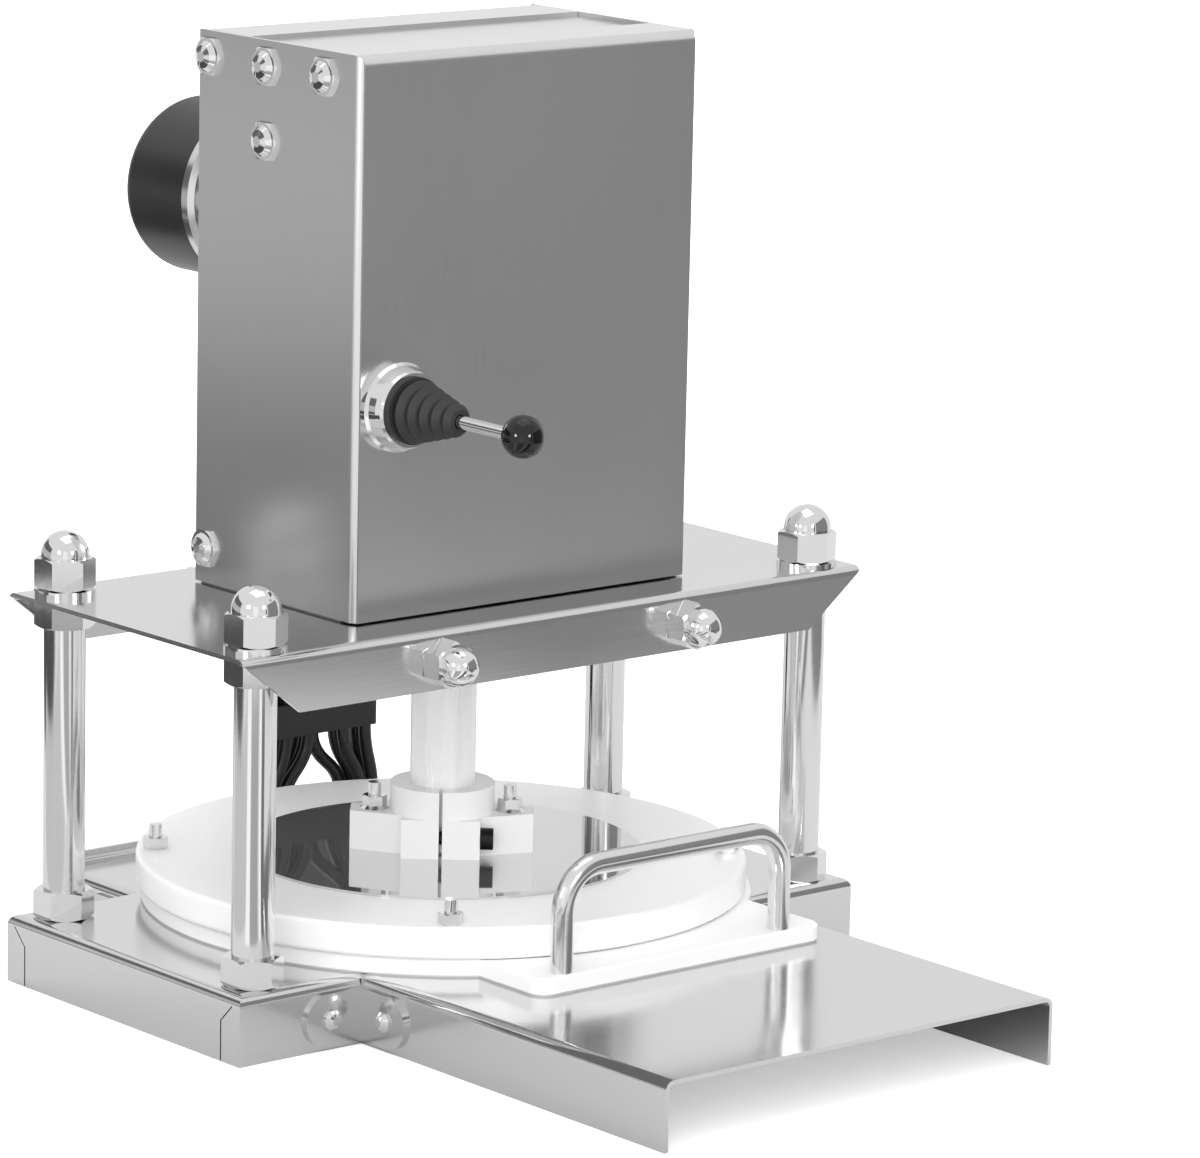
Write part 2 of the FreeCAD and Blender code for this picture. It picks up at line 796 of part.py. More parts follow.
def make_ram_shaft():
    """Round ram whose upper end is milled flat for the rack."""
    radius = ram_dia / 2
    ram = upright(radius, 0, ram_y, mirror_top, rack_high)
    ram = ram.cut(box(-radius - 1, 0, ram_y - radius - 1, ram_y + radius + 1, rack_low, rack_high + 1))
    for z in rack_screw_heights():
        ram = ram.cut(bar(rack_screw_dia / 2 + fixed_gap, Vector(-1, ram_y, z), Vector(radius + 1, ram_y, z)))
        ram = ram.cut(bar(rack_screw_head / 2 + fixed_gap, Vector(rack_screw_seat, ram_y, z),
                          Vector(radius + 1, ram_y, z)))
    edge = [e for e in ram.Edges if abs(e.BoundBox.ZMax - mirror_top) < 0.01 and e.BoundBox.ZLength < 0.01]
    return ram.makeChamfer(1.0, edge)


def rack_screw_heights():
    return [rack_low + rack_screw_inset, rack_high - rack_screw_inset]


def make_rack():
    """Straight teeth towards the pinion, with a gap level with the pinion's axis."""
    tip = rack_pitch_x - rack_addendum * tooth_module
    root = rack_pitch_x + tooth_root * tooth_module
    slope = math.tan(math.radians(pressure_angle))
    half = tooth_pitch / 4 - tooth_play / 2
    tip_half = half - rack_addendum * tooth_module * slope
    root_half = half + tooth_root * tooth_module * slope
    points = [Vector(0, ram_y - gear_width / 2, rack_low), Vector(root, ram_y - gear_width / 2, rack_low)]
    first = math.ceil((rack_low - drive_height + root_half) / tooth_pitch - 0.5)
    last = math.floor((rack_high - drive_height - root_half) / tooth_pitch - 0.5)
    for n in range(first, last + 1):
        middle = drive_height + (n + 0.5) * tooth_pitch
        for x, z in ((root, middle - root_half), (tip, middle - tip_half), (tip, middle + tip_half),
                     (root, middle + root_half)):
            points.append(Vector(x, ram_y - gear_width / 2, z))
    points.append(Vector(root, ram_y - gear_width / 2, rack_high))
    points.append(Vector(0, ram_y - gear_width / 2, rack_high))
    rack = prism(points, Vector(0, gear_width, 0))
    for z in rack_screw_heights():
        rack = rack.cut(bar(rack_screw_dia / 2 + fixed_gap, Vector(root + 1.5, ram_y, z), Vector(1, ram_y, z)))
    return rack


def make_rack_screws():
    tip = rack_pitch_x + tooth_root * tooth_module + 2.0
    screws = []
    for z in rack_screw_heights():
        shank = bar(rack_screw_dia / 2, Vector(tip, ram_y, z), Vector(rack_screw_seat, ram_y, z))
        head = bar(rack_screw_head / 2, Vector(rack_screw_seat, ram_y, z),
                   Vector(rack_screw_seat + rack_screw_head_height, ram_y, z))
        screws.append(shank.fuse(head))
    return screws


def make_rack_guide():
    """Block between the gear plates, hollowed to the back of the ram."""
    block = box(guide_face, guide_face + guide_length, -rail_front + gear_plate_thickness,
                back_inner - gear_plate_thickness, drive_height - guide_height / 2, drive_height + guide_height / 2)
    return block.cut(upright(ram_dia / 2 + running_gap, 0, ram_y, 0, housing_top))


def tooth_angle(radius, pitch_half):
    """Half the angle that a tooth fills at the radius."""
    base = pitch_radius * math.cos(math.radians(pressure_angle))
    flat = math.radians(pressure_angle)
    at = math.acos(min(1.0, base / radius))
    return pitch_half + (math.tan(flat) - flat) - (math.tan(at) - at)


def make_pinion():
    """Spur gear with one tooth towards the rack, each flank an arc through three points."""
    tip = pitch_radius + tooth_module
    root = pitch_radius - tooth_root * tooth_module
    base = pitch_radius * math.cos(math.radians(pressure_angle))
    pitch_half = (tooth_pitch / 2 - tooth_play) / 2 / pitch_radius
    edges = []
    previous = None
    first = None
    for n in range(pinion_teeth):
        centre = 2 * math.pi * n / pinion_teeth

        def at(radius, half, middle=centre):
            return Vector(radius * math.cos(middle + half), radius * math.sin(middle + half), 0)

        low = [at(root, -tooth_angle(base, pitch_half)), at(base, -tooth_angle(base, pitch_half)),
               at(pitch_radius, -pitch_half), at(tip, -tooth_angle(tip, pitch_half))]
        high = [at(tip, tooth_angle(tip, pitch_half)), at(pitch_radius, pitch_half),
                at(base, tooth_angle(base, pitch_half)), at(root, tooth_angle(base, pitch_half))]
        if previous is None:
            first = low[0]
        else:
            edges.append(Part.LineSegment(previous, low[0]))
        edges.append(Part.LineSegment(low[0], low[1]))
        edges.append(Part.Arc(low[1], low[2], low[3]))
        edges.append(Part.LineSegment(low[3], high[0]))
        edges.append(Part.Arc(high[0], high[1], high[2]))
        edges.append(Part.LineSegment(high[2], high[3]))
        previous = high[3]
    edges.append(Part.LineSegment(previous, first))
    face = Part.Face(Part.Wire([edge.toShape() for edge in edges]))
    gear = face.extrude(Vector(0, 0, gear_width))
    gear = gear.cut(Part.makeCylinder(pinion_shaft_dia / 2 + fixed_gap, gear_width))
    slot = key_width / 2 + fixed_gap
    crown = pinion_shaft_dia / 2 + key_height - key_depth + clear_gap
    gear = gear.cut(box(-slot, slot, 0, crown, -1, gear_width + 1))
    placed = FreeCAD.Placement(Vector(pinion_x, ram_y + gear_width / 2, drive_height),
                               FreeCAD.Rotation(Vector(1, 0, 0), 90))
    gear.Placement = placed
    return gear


def shaft_ends():
    return -rail_front - shaft_front_overhang, back_outer + shaft_motor_depth


def make_key():
    """The key lies in the upper side of the shaft, over the pinion's width."""
    half = key_width / 2
    low = drive_height + pinion_shaft_dia / 2 - key_depth
    high = drive_height + pinion_shaft_dia / 2 + key_height - key_depth
    reach = gear_width / 2
    return box(pinion_x - half, pinion_x + half, ram_y - reach, ram_y + reach, low, high)


def make_output_shaft():
    start, end = shaft_ends()
    shaft = bar(pinion_shaft_dia / 2, Vector(pinion_x, start, drive_height), Vector(pinion_x, end, drive_height))
    return shaft.cut(make_key())


def make_bearings():
    bore = pinion_shaft_dia / 2 + running_gap
    ring = turned([(bore, 0), (bearing_dia / 2, 0), (bearing_dia / 2, bearing_width), (bore, bearing_width)])
    front = Vector(pinion_x, -rail_front, drive_height)
    rear = Vector(pinion_x, back_inner - gear_plate_thickness, drive_height)
    return [aim(ring, front, Vector(0, 1, 0)), aim(ring, rear, Vector(0, 1, 0))]


def make_gearmotor():
    """Round gearmotor with a flange on the panel and a rim under the cowl."""
    radius = motor_dia / 2
    waist = motor_body_dia / 2
    length = motor_body_length
    body = turned([(0, 0), (radius, 0), (radius, motor_flange), (waist, motor_flange + 2),
                   (waist, length - motor_rim - 2), (radius, length - motor_rim), (radius, length), (0, length)])
    body = aim(body, Vector(pinion_x, back_outer, drive_height), Vector(0, 1, 0))
    bore = pinion_shaft_dia / 2 + running_gap
    start = Vector(pinion_x, back_outer - 1, drive_height)
    body = body.cut(bar(bore, start, start + Vector(0, 1 + shaft_motor_depth + clear_gap, 0)))
    for x, z in motor_screw_places():
        start = Vector(x, back_outer - 1, z)
        body = body.cut(bar(motor_screw_dia / 2 + fixed_gap, start, start + Vector(0, 1 + motor_screw_depth, 0)))
    return body


def make_cowl():
    """Black end cover with a rounded back edge and a shallow dished end."""
    radius = motor_dia / 2
    cowl = Part.makeCylinder(radius, cowl_length)
    rim = [e for e in cowl.Edges if abs(e.BoundBox.ZMax - cowl_length) < 0.01 and e.BoundBox.ZLength < 0.01]
    cowl = cowl.makeFillet(cowl_edge, rim)
    place = Vector(pinion_x, back_outer + motor_body_length, drive_height)
    return aim(cowl, place, Vector(0, 1, 0))


def make_motor_screws():
    """Cap screws from inside the gear plate into the motor's flange."""
    seat = back_inner - gear_plate_thickness
    tip = back_outer + motor_screw_depth - clear_gap
    head = motor_screw_dia * 0.83
    screws = []
    for x, z in motor_screw_places():
        shank = bar(motor_screw_dia / 2, Vector(x, seat, z), Vector(x, tip, z))
        cap = bar(head, Vector(x, seat - motor_screw_dia, z), Vector(x, seat, z))
        screws.append(shank.fuse(cap))
    return screws


def make_limit_switches():
    """Two switches on the back of the front gear plate, each with its button inwards."""
    wide, deep, high = switch_size
    near = -rail_front + gear_plate_thickness
    switches = []
    for z in switch_heights:
        body = box(switch_x - wide / 2, switch_x + wide / 2, near, near + deep, z - high / 2, z + high / 2)
        button = bar(switch_button / 2, Vector(switch_x - wide / 2 - 2, near + deep / 2, z),
                     Vector(switch_x - wide / 2, near + deep / 2, z))
        switches.append(body.fuse(button))
    return switches


def stick_point(out):
    """A point on the joystick's axis, that far out from the front of the housing."""
    return Vector(stick_x, front_outer - out, stick_z)


def make_bezel():
    bore = neck_dia / 2 + fixed_gap
    wide = bezel_dia / 2
    narrow = bezel_front_dia / 2
    ring = turned([(bore, 0), (wide, 0), (wide, 3.0), (wide - 1.2, 4.5), (narrow + 1.5, 8.0),
                   (narrow + 0.8, bezel_length - 1.5), (narrow, bezel_length), (bore, bezel_length)])
    return aim(ring, stick_point(0), Vector(0, -1, 0))


def make_joystick_body():
    """Neck through the panel with a fork for the lever, and the switch block behind it."""
    neck = bar(neck_dia / 2, stick_point(-sheet), stick_point(fork_reach))
    shoulder = bar(neck_shoulder / 2, stick_point(-sheet - neck_shoulder_thickness), stick_point(-sheet))
    wide, deep, high = switch_block
    back = front_inner + neck_shoulder_thickness
    block = box(stick_x - wide / 2, stick_x + wide / 2, back, back + deep,
                stick_z - high / 2, stick_z + high / 2)
    body = neck.fuse(shoulder).fuse(block)
    pivot = stick_point(pivot_out)
    slot_foot = pivot.y + eye_dia / 2 + hole_gap
    slot = box(stick_x - fork_slot / 2, stick_x + fork_slot / 2, front_outer - fork_reach - 1, slot_foot,
               stick_z - neck_dia, stick_z + neck_dia)
    body = body.cut(slot)
    side = Vector(neck_dia, 0, 0)
    return body.cut(bar(pivot_dia / 2 + fixed_gap / 3, pivot - side, pivot + side))


def make_lever_pin():
    half = Vector(neck_dia / 2 - 1.5, 0, 0)
    return bar(pivot_dia / 2, stick_point(pivot_out) - half, stick_point(pivot_out) + half)


def make_lever_rod():
    pivot = stick_point(pivot_out)
    half = Vector(eye_width / 2, 0, 0)
    eye = bar(eye_dia / 2, pivot - half, pivot + half)
    rod = bar(lever_dia / 2, pivot, stick_point(ball_out - lever_dia / 2))
    lever = eye.fuse(rod)
    return lever.cut(bar(pivot_dia / 2 + running_gap, pivot - half * 2, pivot + half * 2))


def make_ball():
    ball = Part.makeSphere(ball_dia / 2, stick_point(ball_out))
    flat = lever_dia * 0.75
    inner = ball_out - math.sqrt((ball_dia / 2) ** 2 - flat ** 2)
    ball = ball.cut(bar(ball_dia, stick_point(inner), stick_point(0)))
    return ball.cut(bar(lever_dia / 2 + fixed_gap, stick_point(0), stick_point(ball_out - lever_dia / 2 + 0.5)))


def make_boot():
    """Ribbed rubber boot: a foot on the bezel, then ribs that narrow to the lever."""
    outline = [(boot_foot_dia / 2, bezel_length), (boot_foot_dia / 2, bezel_length + boot_foot)]
    start = bezel_length + boot_foot
    step = (boot_end - start) / boot_ribs
    taper = (boot_big_dia - boot_small_dia) / 2 / (boot_ribs - 1)
    for n in range(boot_ribs):
        crest = boot_big_dia / 2 - taper * n
        low = start + step * n
        outline.append((crest - boot_groove, low + step * 0.12))
        outline.append((crest, low + step * 0.38))
        outline.append((crest, low + step * 0.66))
        outline.append((crest - boot_groove, low + step * 0.92))
    outline.append((boot_small_dia / 2 - boot_groove, boot_end))
    bore = lever_dia / 2 + clear_gap
    wall = boot_wall + boot_groove
    outline.append((bore, boot_end))
    outline.append((bore, boot_end - boot_wall))
    outline.append((boot_small_dia / 2 - wall + 0.4, boot_end - step))
    outline.append((boot_big_dia / 2 - wall, start + boot_wall))
    outline.append((boot_big_dia / 2 - wall, bezel_length))
    boot = turned(outline)
    return aim(boot, stick_point(0), Vector(0, -1, 0))


def disc_bolt_places():
    places = []
    for n in range(disc_bolt_count):
        angle = math.radians(disc_bolt_angle + 360 * n / disc_bolt_count)
        places.append((disc_bolt_radius * math.cos(angle), ram_y + disc_bolt_radius * math.sin(angle)))
    return places


def hub_bolt_places():
    angle = math.radians(hub_turn)
    return [(side * hub_bolt_out * math.cos(angle), ram_y + side * hub_bolt_out * math.sin(angle))
            for side in (-1, 1)]


def make_disc():
    disc = upright(disc_radius, 0, ram_y, disc_low, disc_top)
    disc = disc.makeFillet(disc_edge, [e for e in disc.Edges if e.BoundBox.ZLength < 0.01])
    for x, y in disc_bolt_places():
        disc = disc.cut(upright(disc_bolt_dia / 2 + fixed_gap, x, y, disc_top - disc_bolt_sink, disc_top + 1))
    for x, y in hub_bolt_places():
        disc = disc.cut(upright(disc_bolt_dia / 2 + fixed_gap, x, y, disc_top - disc_bolt_sink, disc_top + 1))
    return disc


def make_mirror():
    plate = upright(mirror_radius, 0, ram_y, disc_top, mirror_top)
    for x, y in hub_bolt_places():
        plate = plate.cut(upright(disc_bolt_dia / 2 + fixed_gap, x, y, disc_top - 1, mirror_top + 1))
    return plate


def make_disc_bolts():
    """Studs sunk in the disc, each with its nut on top."""
    bolts = []
    nut = hex_nut(disc_nut_flats, disc_nut_height, 0)
    for x, y in disc_bolt_places():
        stud = upright(disc_bolt_dia / 2, x, y, disc_top - disc_bolt_sink, disc_top + disc_bolt_high)
        bolts.append(stud.fuse(aim(nut, Vector(x, y, disc_top), Vector(0, 0, 1))).removeSplitter())
    return bolts


def make_hub_bolts():
    """Studs through the hub's ears, with flanged nuts."""
    bolts = []
    seat = mirror_top + hub_lobe_height
    nut = hex_nut(hub_nut_flats, hub_nut_height, 0, both_ends=False)
    nut = nut.fuse(Part.makeCone(hub_nut_flange_dia / 2, hub_nut_flats / 2, hub_nut_flange))
    for x, y in hub_bolt_places():
        stud = upright(disc_bolt_dia / 2, x, y, disc_top - disc_bolt_sink, seat + hub_bolt_high)
        bolts.append(stud.fuse(aim(nut, Vector(x, y, seat), Vector(0, 0, 1))).removeSplitter())
    return bolts


def hub_frame(shape):
    """Bring a shape made about the Z axis to the hub, turned with the ears."""
    shape.rotate(Vector(0, 0, 0), Vector(0, 0, 1), hub_turn)
    shape.translate(Vector(0, ram_y, mirror_top))
    return shape


def clamp_axis():
    """Depth and height of the clamp screw in the hub's front lobe."""
    return -(ram_dia / 2 + hub_lobe_reach) / 2, hub_lobe_height / 2


def make_hub():
    """Split hub: a collar on a block with two tapered ears, slit at the front."""
    half = hub_lobe_width / 2
    block = box(-half, half, -hub_lobe_reach, hub_lobe_reach, 0, hub_lobe_height)
    hub = block
    for side in (-1, 1):
        root = side * (half - hub_ear_lap)
        tip = side * hub_ear_reach
        points = [Vector(root, -hub_ear_root / 2, 0), Vector(tip, -hub_ear_tip / 2, 0),
                  Vector(tip, hub_ear_tip / 2, 0), Vector(root, hub_ear_root / 2, 0)]
        hub = hub.fuse(prism(points, Vector(0, 0, hub_lobe_height)))
    hub = hub.fuse(Part.makeCylinder(hub_collar_dia / 2, hub_height)).removeSplitter()
    hub = hub.cut(Part.makeCylinder(ram_dia / 2 + running_gap, hub_height))
    hub = hub.cut(box(-hub_slit / 2, hub_slit / 2, -hub_lobe_reach - 1, 0, -1, hub_height + 1))
    depth, height = clamp_axis()
    seat = Vector(half, depth, height)
    tip = Vector(clamp_screw_end - 1 - half, depth, height)
    hub = hub.cut(bar(clamp_screw_dia / 2 + fixed_gap, tip, seat))
    hub = hub.cut(bar(clamp_head_dia / 2 + fixed_gap, seat, seat + Vector(clamp_head + 1, 0, 0)))
    for side in (-1, 1):
        hub = hub.cut(upright(disc_bolt_dia / 2 + fixed_gap, side * hub_bolt_out, 0, -1, hub_height))
    return hub_frame(hub)


def make_clamp_screw():
    """Cap screw across the slit, its head against the side of the front lobe."""
    depth, height = clamp_axis()
    seat = Vector(hub_lobe_width / 2, depth, height)
    tip = Vector(clamp_screw_end - hub_lobe_width / 2, depth, height)
    head = bar(clamp_head_dia / 2, seat, seat + Vector(clamp_head, 0, 0))
    return hub_frame(head.fuse(bar(clamp_screw_dia / 2, tip, seat)))


def handle_places():
    return [(x, -board_front + handle_inset) for x in (handle_left, handle_right)]


def make_board():
    """Round dough board with a straight tab towards the operator."""
    board = upright(board_radius, board_x, ram_y, base_top, board_top)
    tab = box(tab_left, tab_right, -board_front, ram_y, base_top, board_top)
    corners = []
    for edge in tab.Edges:
        ends = [vertex.Point for vertex in edge.Vertexes]
        if all(abs(p.y + board_front) < 0.01 for p in ends) and abs(ends[0].z - ends[1].z) > 1:
            corners.append(edge)
    board = board.fuse(tab.makeFillet(tab_corner, corners)).removeSplitter()
    rim = [e for e in board.Edges if abs(e.BoundBox.ZMax - base_top) < 0.01 or abs(e.BoundBox.ZMin - board_top) < 0.01]
    board = board.makeChamfer(board_edge / 2, rim)
    for x, y in handle_places():
        board = board.cut(upright(handle_screw_dia / 2 + fixed_gap, x, y, base_top - 1, board_top + 1))
        cone = Part.makeCone(handle_screw_head / 2 + 0.4, handle_screw_dia / 2 + 0.4,
                             handle_screw_head_height + 0.4, Vector(x, y, base_top))
        board = board.cut(cone)
    return board


def make_handle():
    """Round bar bent twice, standing on the board's front edge."""
    radius = handle_dia / 2
    high = handle_top - radius
    y = handle_places()[0][1]
    bend = handle_bend
    turn = bend * (1 - math.cos(math.radians(45)))
    foot_left = Vector(handle_left, y, board_top)
    foot_right = Vector(handle_right, y, board_top)
    line = [Part.LineSegment(foot_left, Vector(handle_left, y, high - bend)),
            Part.Arc(Vector(handle_left, y, high - bend), Vector(handle_left + turn, y, high - turn),
                     Vector(handle_left + bend, y, high)),
            Part.LineSegment(Vector(handle_left + bend, y, high), Vector(handle_right - bend, y, high)),
            Part.Arc(Vector(handle_right - bend, y, high), Vector(handle_right - turn, y, high - turn),
                     Vector(handle_right, y, high - bend)),
            Part.LineSegment(Vector(handle_right, y, high - bend), foot_right)]
    path = Part.Wire([edge.toShape() for edge in line])
    ring = Part.Wire(Part.makeCircle(radius, foot_left, Vector(0, 0, 1)))
    handle = path.makePipeShell([ring], True, False)
    for x, y in handle_places():
        handle = handle.cut(upright(handle_screw_dia / 2 + fixed_gap, x, y, board_top - 1,
                                    board_top + handle_screw_reach + 1))
    return handle


def make_handle_screws():
    screws = []
    for x, y in handle_places():
        head = Part.makeCone(handle_screw_head / 2, handle_screw_dia / 2, handle_screw_head_height,
                             Vector(x, y, base_top + clear_gap))
        shank = upright(handle_screw_dia / 2, x, y, base_top + clear_gap, board_top + handle_screw_reach)
        screws.append(head.fuse(shank))
    return screws


def make_gland():
    """Cord gland: a neck through the panel, a hexagon and a tapered sleeve."""
    foot = gland_hex_height
    shoulder = foot + gland_shoulder
    sleeve = turned([(0, 0), (gland_dia / 2, 0), (gland_dia / 2, shoulder),
                     (gland_tip_dia / 2 + 1, shoulder + gland_taper), (gland_tip_dia / 2, gland_length),
                     (0, gland_length)])
    neck = Part.makeCylinder(gland_neck_dia / 2, sheet, Vector(0, 0, -sheet))
    gland = hex_nut(gland_hex, foot, 0, both_ends=False).fuse(sleeve).fuse(neck).removeSplitter()
    return aim(gland, Vector(gland_x, back_outer, gland_z), Vector(0, 1, 0))


def rounded_path(points):
    """Straight runs joined by arcs, each arc as large as its two runs allow."""
    edges = []
    radii = []
    start = points[0]
    for before, corner, after in zip(points, points[1:], points[2:]):
        come = corner - before
        leave = after - corner
        half_turn = come.getAngle(leave) / 2
        setback = 0.45 * min(come.Length, leave.Length)
        radii.append(setback / math.tan(half_turn))
        come.normalize()
        leave.normalize()
        first = corner - come * setback
        last = corner + leave * setback
        inward = leave - come
        inward.normalize()
        depth = radii[-1] * (1 / math.cos(half_turn) - 1)
        edges.append(Part.LineSegment(start, first))
        edges.append(Part.Arc(first, corner + inward * depth, last))
        start = last
    edges.append(Part.LineSegment(start, points[-1]))
    return edges, radii


def tube(edges):
    """A round cord along a smooth path of lines and arcs."""
    path = Part.Wire([edge.toShape() for edge in edges])
    start = edges[0].StartPoint
    along = edges[0].EndPoint - start
    ring = Part.Wire(Part.makeCircle(cord_dia / 2, start, along))
    cord = path.makePipeShell([ring], True, False)
    print("cord length", round(path.Length, 1), "volume over section times length",
          round(cord.Volume / (math.pi * cord_dia ** 2 / 4 * path.Length), 5))
    return cord


def s_curve(start, end):
    """Two arcs that leave and arrive upright and shift the cord sideways."""
    middle = (start + end) * 0.5
    rise = (end.z - start.z) / 2
    shift = Vector(end.x - start.x, end.y - start.y, 0)
    side = shift.Length / 2
    radius = (rise ** 2 + side ** 2) / (2 * side)
    angle = math.asin(rise / radius) / 2
    shift.normalize()
    bow = shift * (radius * (1 - math.cos(angle))) + Vector(0, 0, radius * math.sin(angle))
    return [Part.Arc(start, start + bow, middle), Part.Arc(middle, end - bow, end)]


def half_turn(start, end, height):
    """Half a circle from one upright run to the next, over the top or under the bottom."""
    middle = (start + end) * 0.5
    return Part.Arc(start, middle + Vector(0, 0, height * (end - start).Length / 2), end)


def coil_layout():
    """Levels of the coil's runs, its middle line and the places of its two layers."""
    low = clear_gap + cord_dia / 2 + coil_widest - coil_pitch / 4
    near = channel_rear + coil_from_base + cord_dia / 2
    return low, low + 2 * coil_draw + coil_waist, gland_x + coil_widest, near, near + coil_pitch


def waist_reach(reach):
    """How far from the coil's middle line a strand passes its waist."""
    inner = coil_widest - coil_turns * coil_pitch / 2
    return coil_waist_inner + coil_waist_spread * (reach - inner)


def drawn_in(start, sense):
    """The bend from a wide strand to its place in the waist, upwards or downwards."""
    middle = gland_x + coil_widest
    side = math.copysign(1, start.x - middle)
    x = middle + side * waist_reach(abs(start.x - middle))
    return s_curve(start, Vector(x, start.y, start.z + sense * coil_draw))


def strand(start, end):
    """A run of the coil from one end to the other, drawn in by the tie at its waist."""
    sense = math.copysign(1, end.z - start.z)
    first = drawn_in(start, sense)
    enter = first[-1].EndPoint
    leave = enter + Vector(0, 0, sense * coil_waist)
    return first + [Part.LineSegment(enter, leave)] + s_curve(leave, end)


def make_coil():
    """The spare length: a tied coil that spirals in, climbs a layer and spirals out."""
    low, high, middle, near, rear = coil_layout()
    reach = coil_widest
    y = rear
    side = -1
    edges = [Part.LineSegment(coil_start(), Vector(middle - reach, y, high))]
    edges += strand(Vector(middle - reach, y, high), Vector(middle - reach, y, low))
    step = -coil_pitch / 2
    for n in range(2 * coil_turns):
        level, far = (low, high) if n % 2 == 0 else (high, low)
        start = Vector(middle + side * reach, y, level)
        if n == coil_turns:
            step = coil_pitch / 2
        reach += step
        side = -side
        end = Vector(middle + side * reach, y, level)
        edges.append(half_turn(start, end, -1 if n % 2 == 0 else 1))
        if n == coil_turns - 1:
            y = near
        if n < 2 * coil_turns - 1:
            edges += strand(end, Vector(end.x, y, far))
    edges += drawn_in(end, -1)
    edges.append(Part.LineSegment(edges[-1].EndPoint, coil_end()))
    print("coil gap", round(path_gap(edges) - cord_dia, 3))
    return edges


def coil_start():
    """Where the hanging cord becomes the coil, one diameter above the first bend."""
    low, high, middle, near, rear = coil_layout()
    return Vector(middle - coil_widest, rear, high + cord_dia)


def coil_end():
    """Where the cord leaves the coil under the tie, on its way to the plug."""
    low, high, middle, near, rear = coil_layout()
    return Vector(middle - waist_reach(coil_widest), near, cord_leaves)


def path_gap(edges):
    """Least distance between two stretches of the path over four diameters apart along it."""
    step = cord_dia / 4
    path = Part.Wire([edge.toShape() for edge in edges])
    points = path.discretize(Distance=step)
    least = path.Length
    for n, point in enumerate(points):
        for other in points[n + 16:]:
            least = min(least, point.distanceToPoint(other))
    return least


def make_cord():
    """The free stretches: down from the gland to the coil, and from the coil to the plug."""
    down = [Vector(*point) for point in cord_down] + [coil_start()]
    out = [coil_end()] + [Vector(*point) for point in cord_out]
    tubes = []
    for points in (down, out):
        edges, radii = rounded_path(points)
        print("cord radii", [round(radius, 1) for radius in radii])
        tubes.append(tube(edges))
    return tubes


def make_plug():
    """Flat two-pin plug on its edge, made upright with the cord coming in from below."""
    half = plug_width / 2
    top = plug_relief + plug_body
    body = box(-half, half, -plug_thickness / 2, plug_thickness / 2, plug_relief, top)
    corners = [edge for edge in body.Edges if edge.BoundBox.ZLength > 1]
    body = body.makeFillet(plug_corner, corners)
    rims = [edge for edge in body.Edges if edge.BoundBox.ZLength < 0.01]
    body = body.makeFillet(plug_corner / 3, rims)
    plug = body.fuse(Part.makeCone(cord_dia / 2 + 1, cord_dia / 2 + 3, plug_relief))
    for side in (-1, 1):
        plug = plug.fuse(upright(plug_pin_dia / 2, side * plug_pin_pitch / 2, 0, top, top + plug_pin_length))
    return aim(plug.removeSplitter(), Vector(*cord_out[-1]), Vector(-1, 0, 0))


def make_tie_band():
    """Band round all strands of the coil at its waist."""
    low, high, middle, near, rear = coil_layout()
    reach = cord_dia / 2 + clear_gap
    left = middle - waist_reach(coil_widest) - reach
    right = middle + waist_reach(coil_widest - coil_pitch / 2) + reach
    z = (low + high - tie_band_width) / 2
    inner = box(left, right, near - reach, rear + reach, z, z + tie_band_width)
    outer = box(left - tie_band, right + tie_band, near - reach - tie_band, rear + reach + tie_band,
                z, z + tie_band_width)
    inner = inner.makeFillet(cord_dia / 4, [edge for edge in inner.Edges if edge.BoundBox.ZLength > 1])
    outer = outer.makeFillet(cord_dia / 4 + tie_band, [edge for edge in outer.Edges if edge.BoundBox.ZLength > 1])
    return outer.cut(inner)


os.makedirs("parts", exist_ok=True)

save("base_tray", make_base())
save("corner_brackets", make_brackets())
save("bracket_bolts", make_bracket_bolts())
save("base_beam_front", make_beam(-1))
save("base_beam_rear", make_beam(1))
for end, y in zip(("front", "rear"), column_ys):
    for hand, x in zip(("left", "right"), column_xs):
        save("column_" + end + "_" + hand, make_column(x, y))
for node, shapes in make_column_hardware().items():
    save(node, shapes)
save("top_plate", make_top_plate())
tie_rods, tie_locknuts, tie_acorns = make_tie_hardware()
save("tie_rods", tie_rods)
save("tie_rod_locknuts", tie_locknuts)
save("tie_rod_acorns", tie_acorns)
save("housing_shell", make_housing_shell())
save("back_panel", make_back_panel())
save("top_cover", make_top_cover())
save("side_rail_left", make_side_rail(-1))
save("side_rail_right", make_side_rail(1))
gear_plate_front, gear_plate_rear = make_gear_plates()
save("gear_plate_front", gear_plate_front)
save("gear_plate_rear", gear_plate_rear)
save("frame_bolts", make_frame_bolts())
save("ram_bush", make_bush())
save("bush_screws", make_bush_screws())
save("rack_guide", make_rack_guide())
save("gearmotor_body", make_gearmotor())
save("motor_cowl", make_cowl())
save("motor_screws", make_motor_screws())
save("shaft_bearings", make_bearings())
save("limit_switches", make_limit_switches())
save("joystick_bezel", make_bezel())
save("joystick_body", make_joystick_body())
save("lever_pin", make_lever_pin())
save("lever_boot", make_boot())
save("ram_shaft", make_ram_shaft())
save("drive_rack", make_rack())
save("rack_screws", make_rack_screws())
save("hub_clamp", make_hub())
save("clamp_screw", make_clamp_screw())
save("hub_bolts", make_hub_bolts())
save("mirror_plate", make_mirror())
save("press_disc", make_disc())
save("disc_bolts", make_disc_bolts())
save("output_shaft", make_output_shaft())
save("drive_pinion", make_pinion())
save("shaft_key", make_key())
save("tray_board", make_board())
save("tray_handle", make_handle())
save("handle_screws", make_handle_screws())
save("lever_rod", make_lever_rod())
save("ball_knob", make_ball())
save("cord_gland", make_gland())
save("power_cord", make_cord())
save("cord_coil", tube(make_coil()))
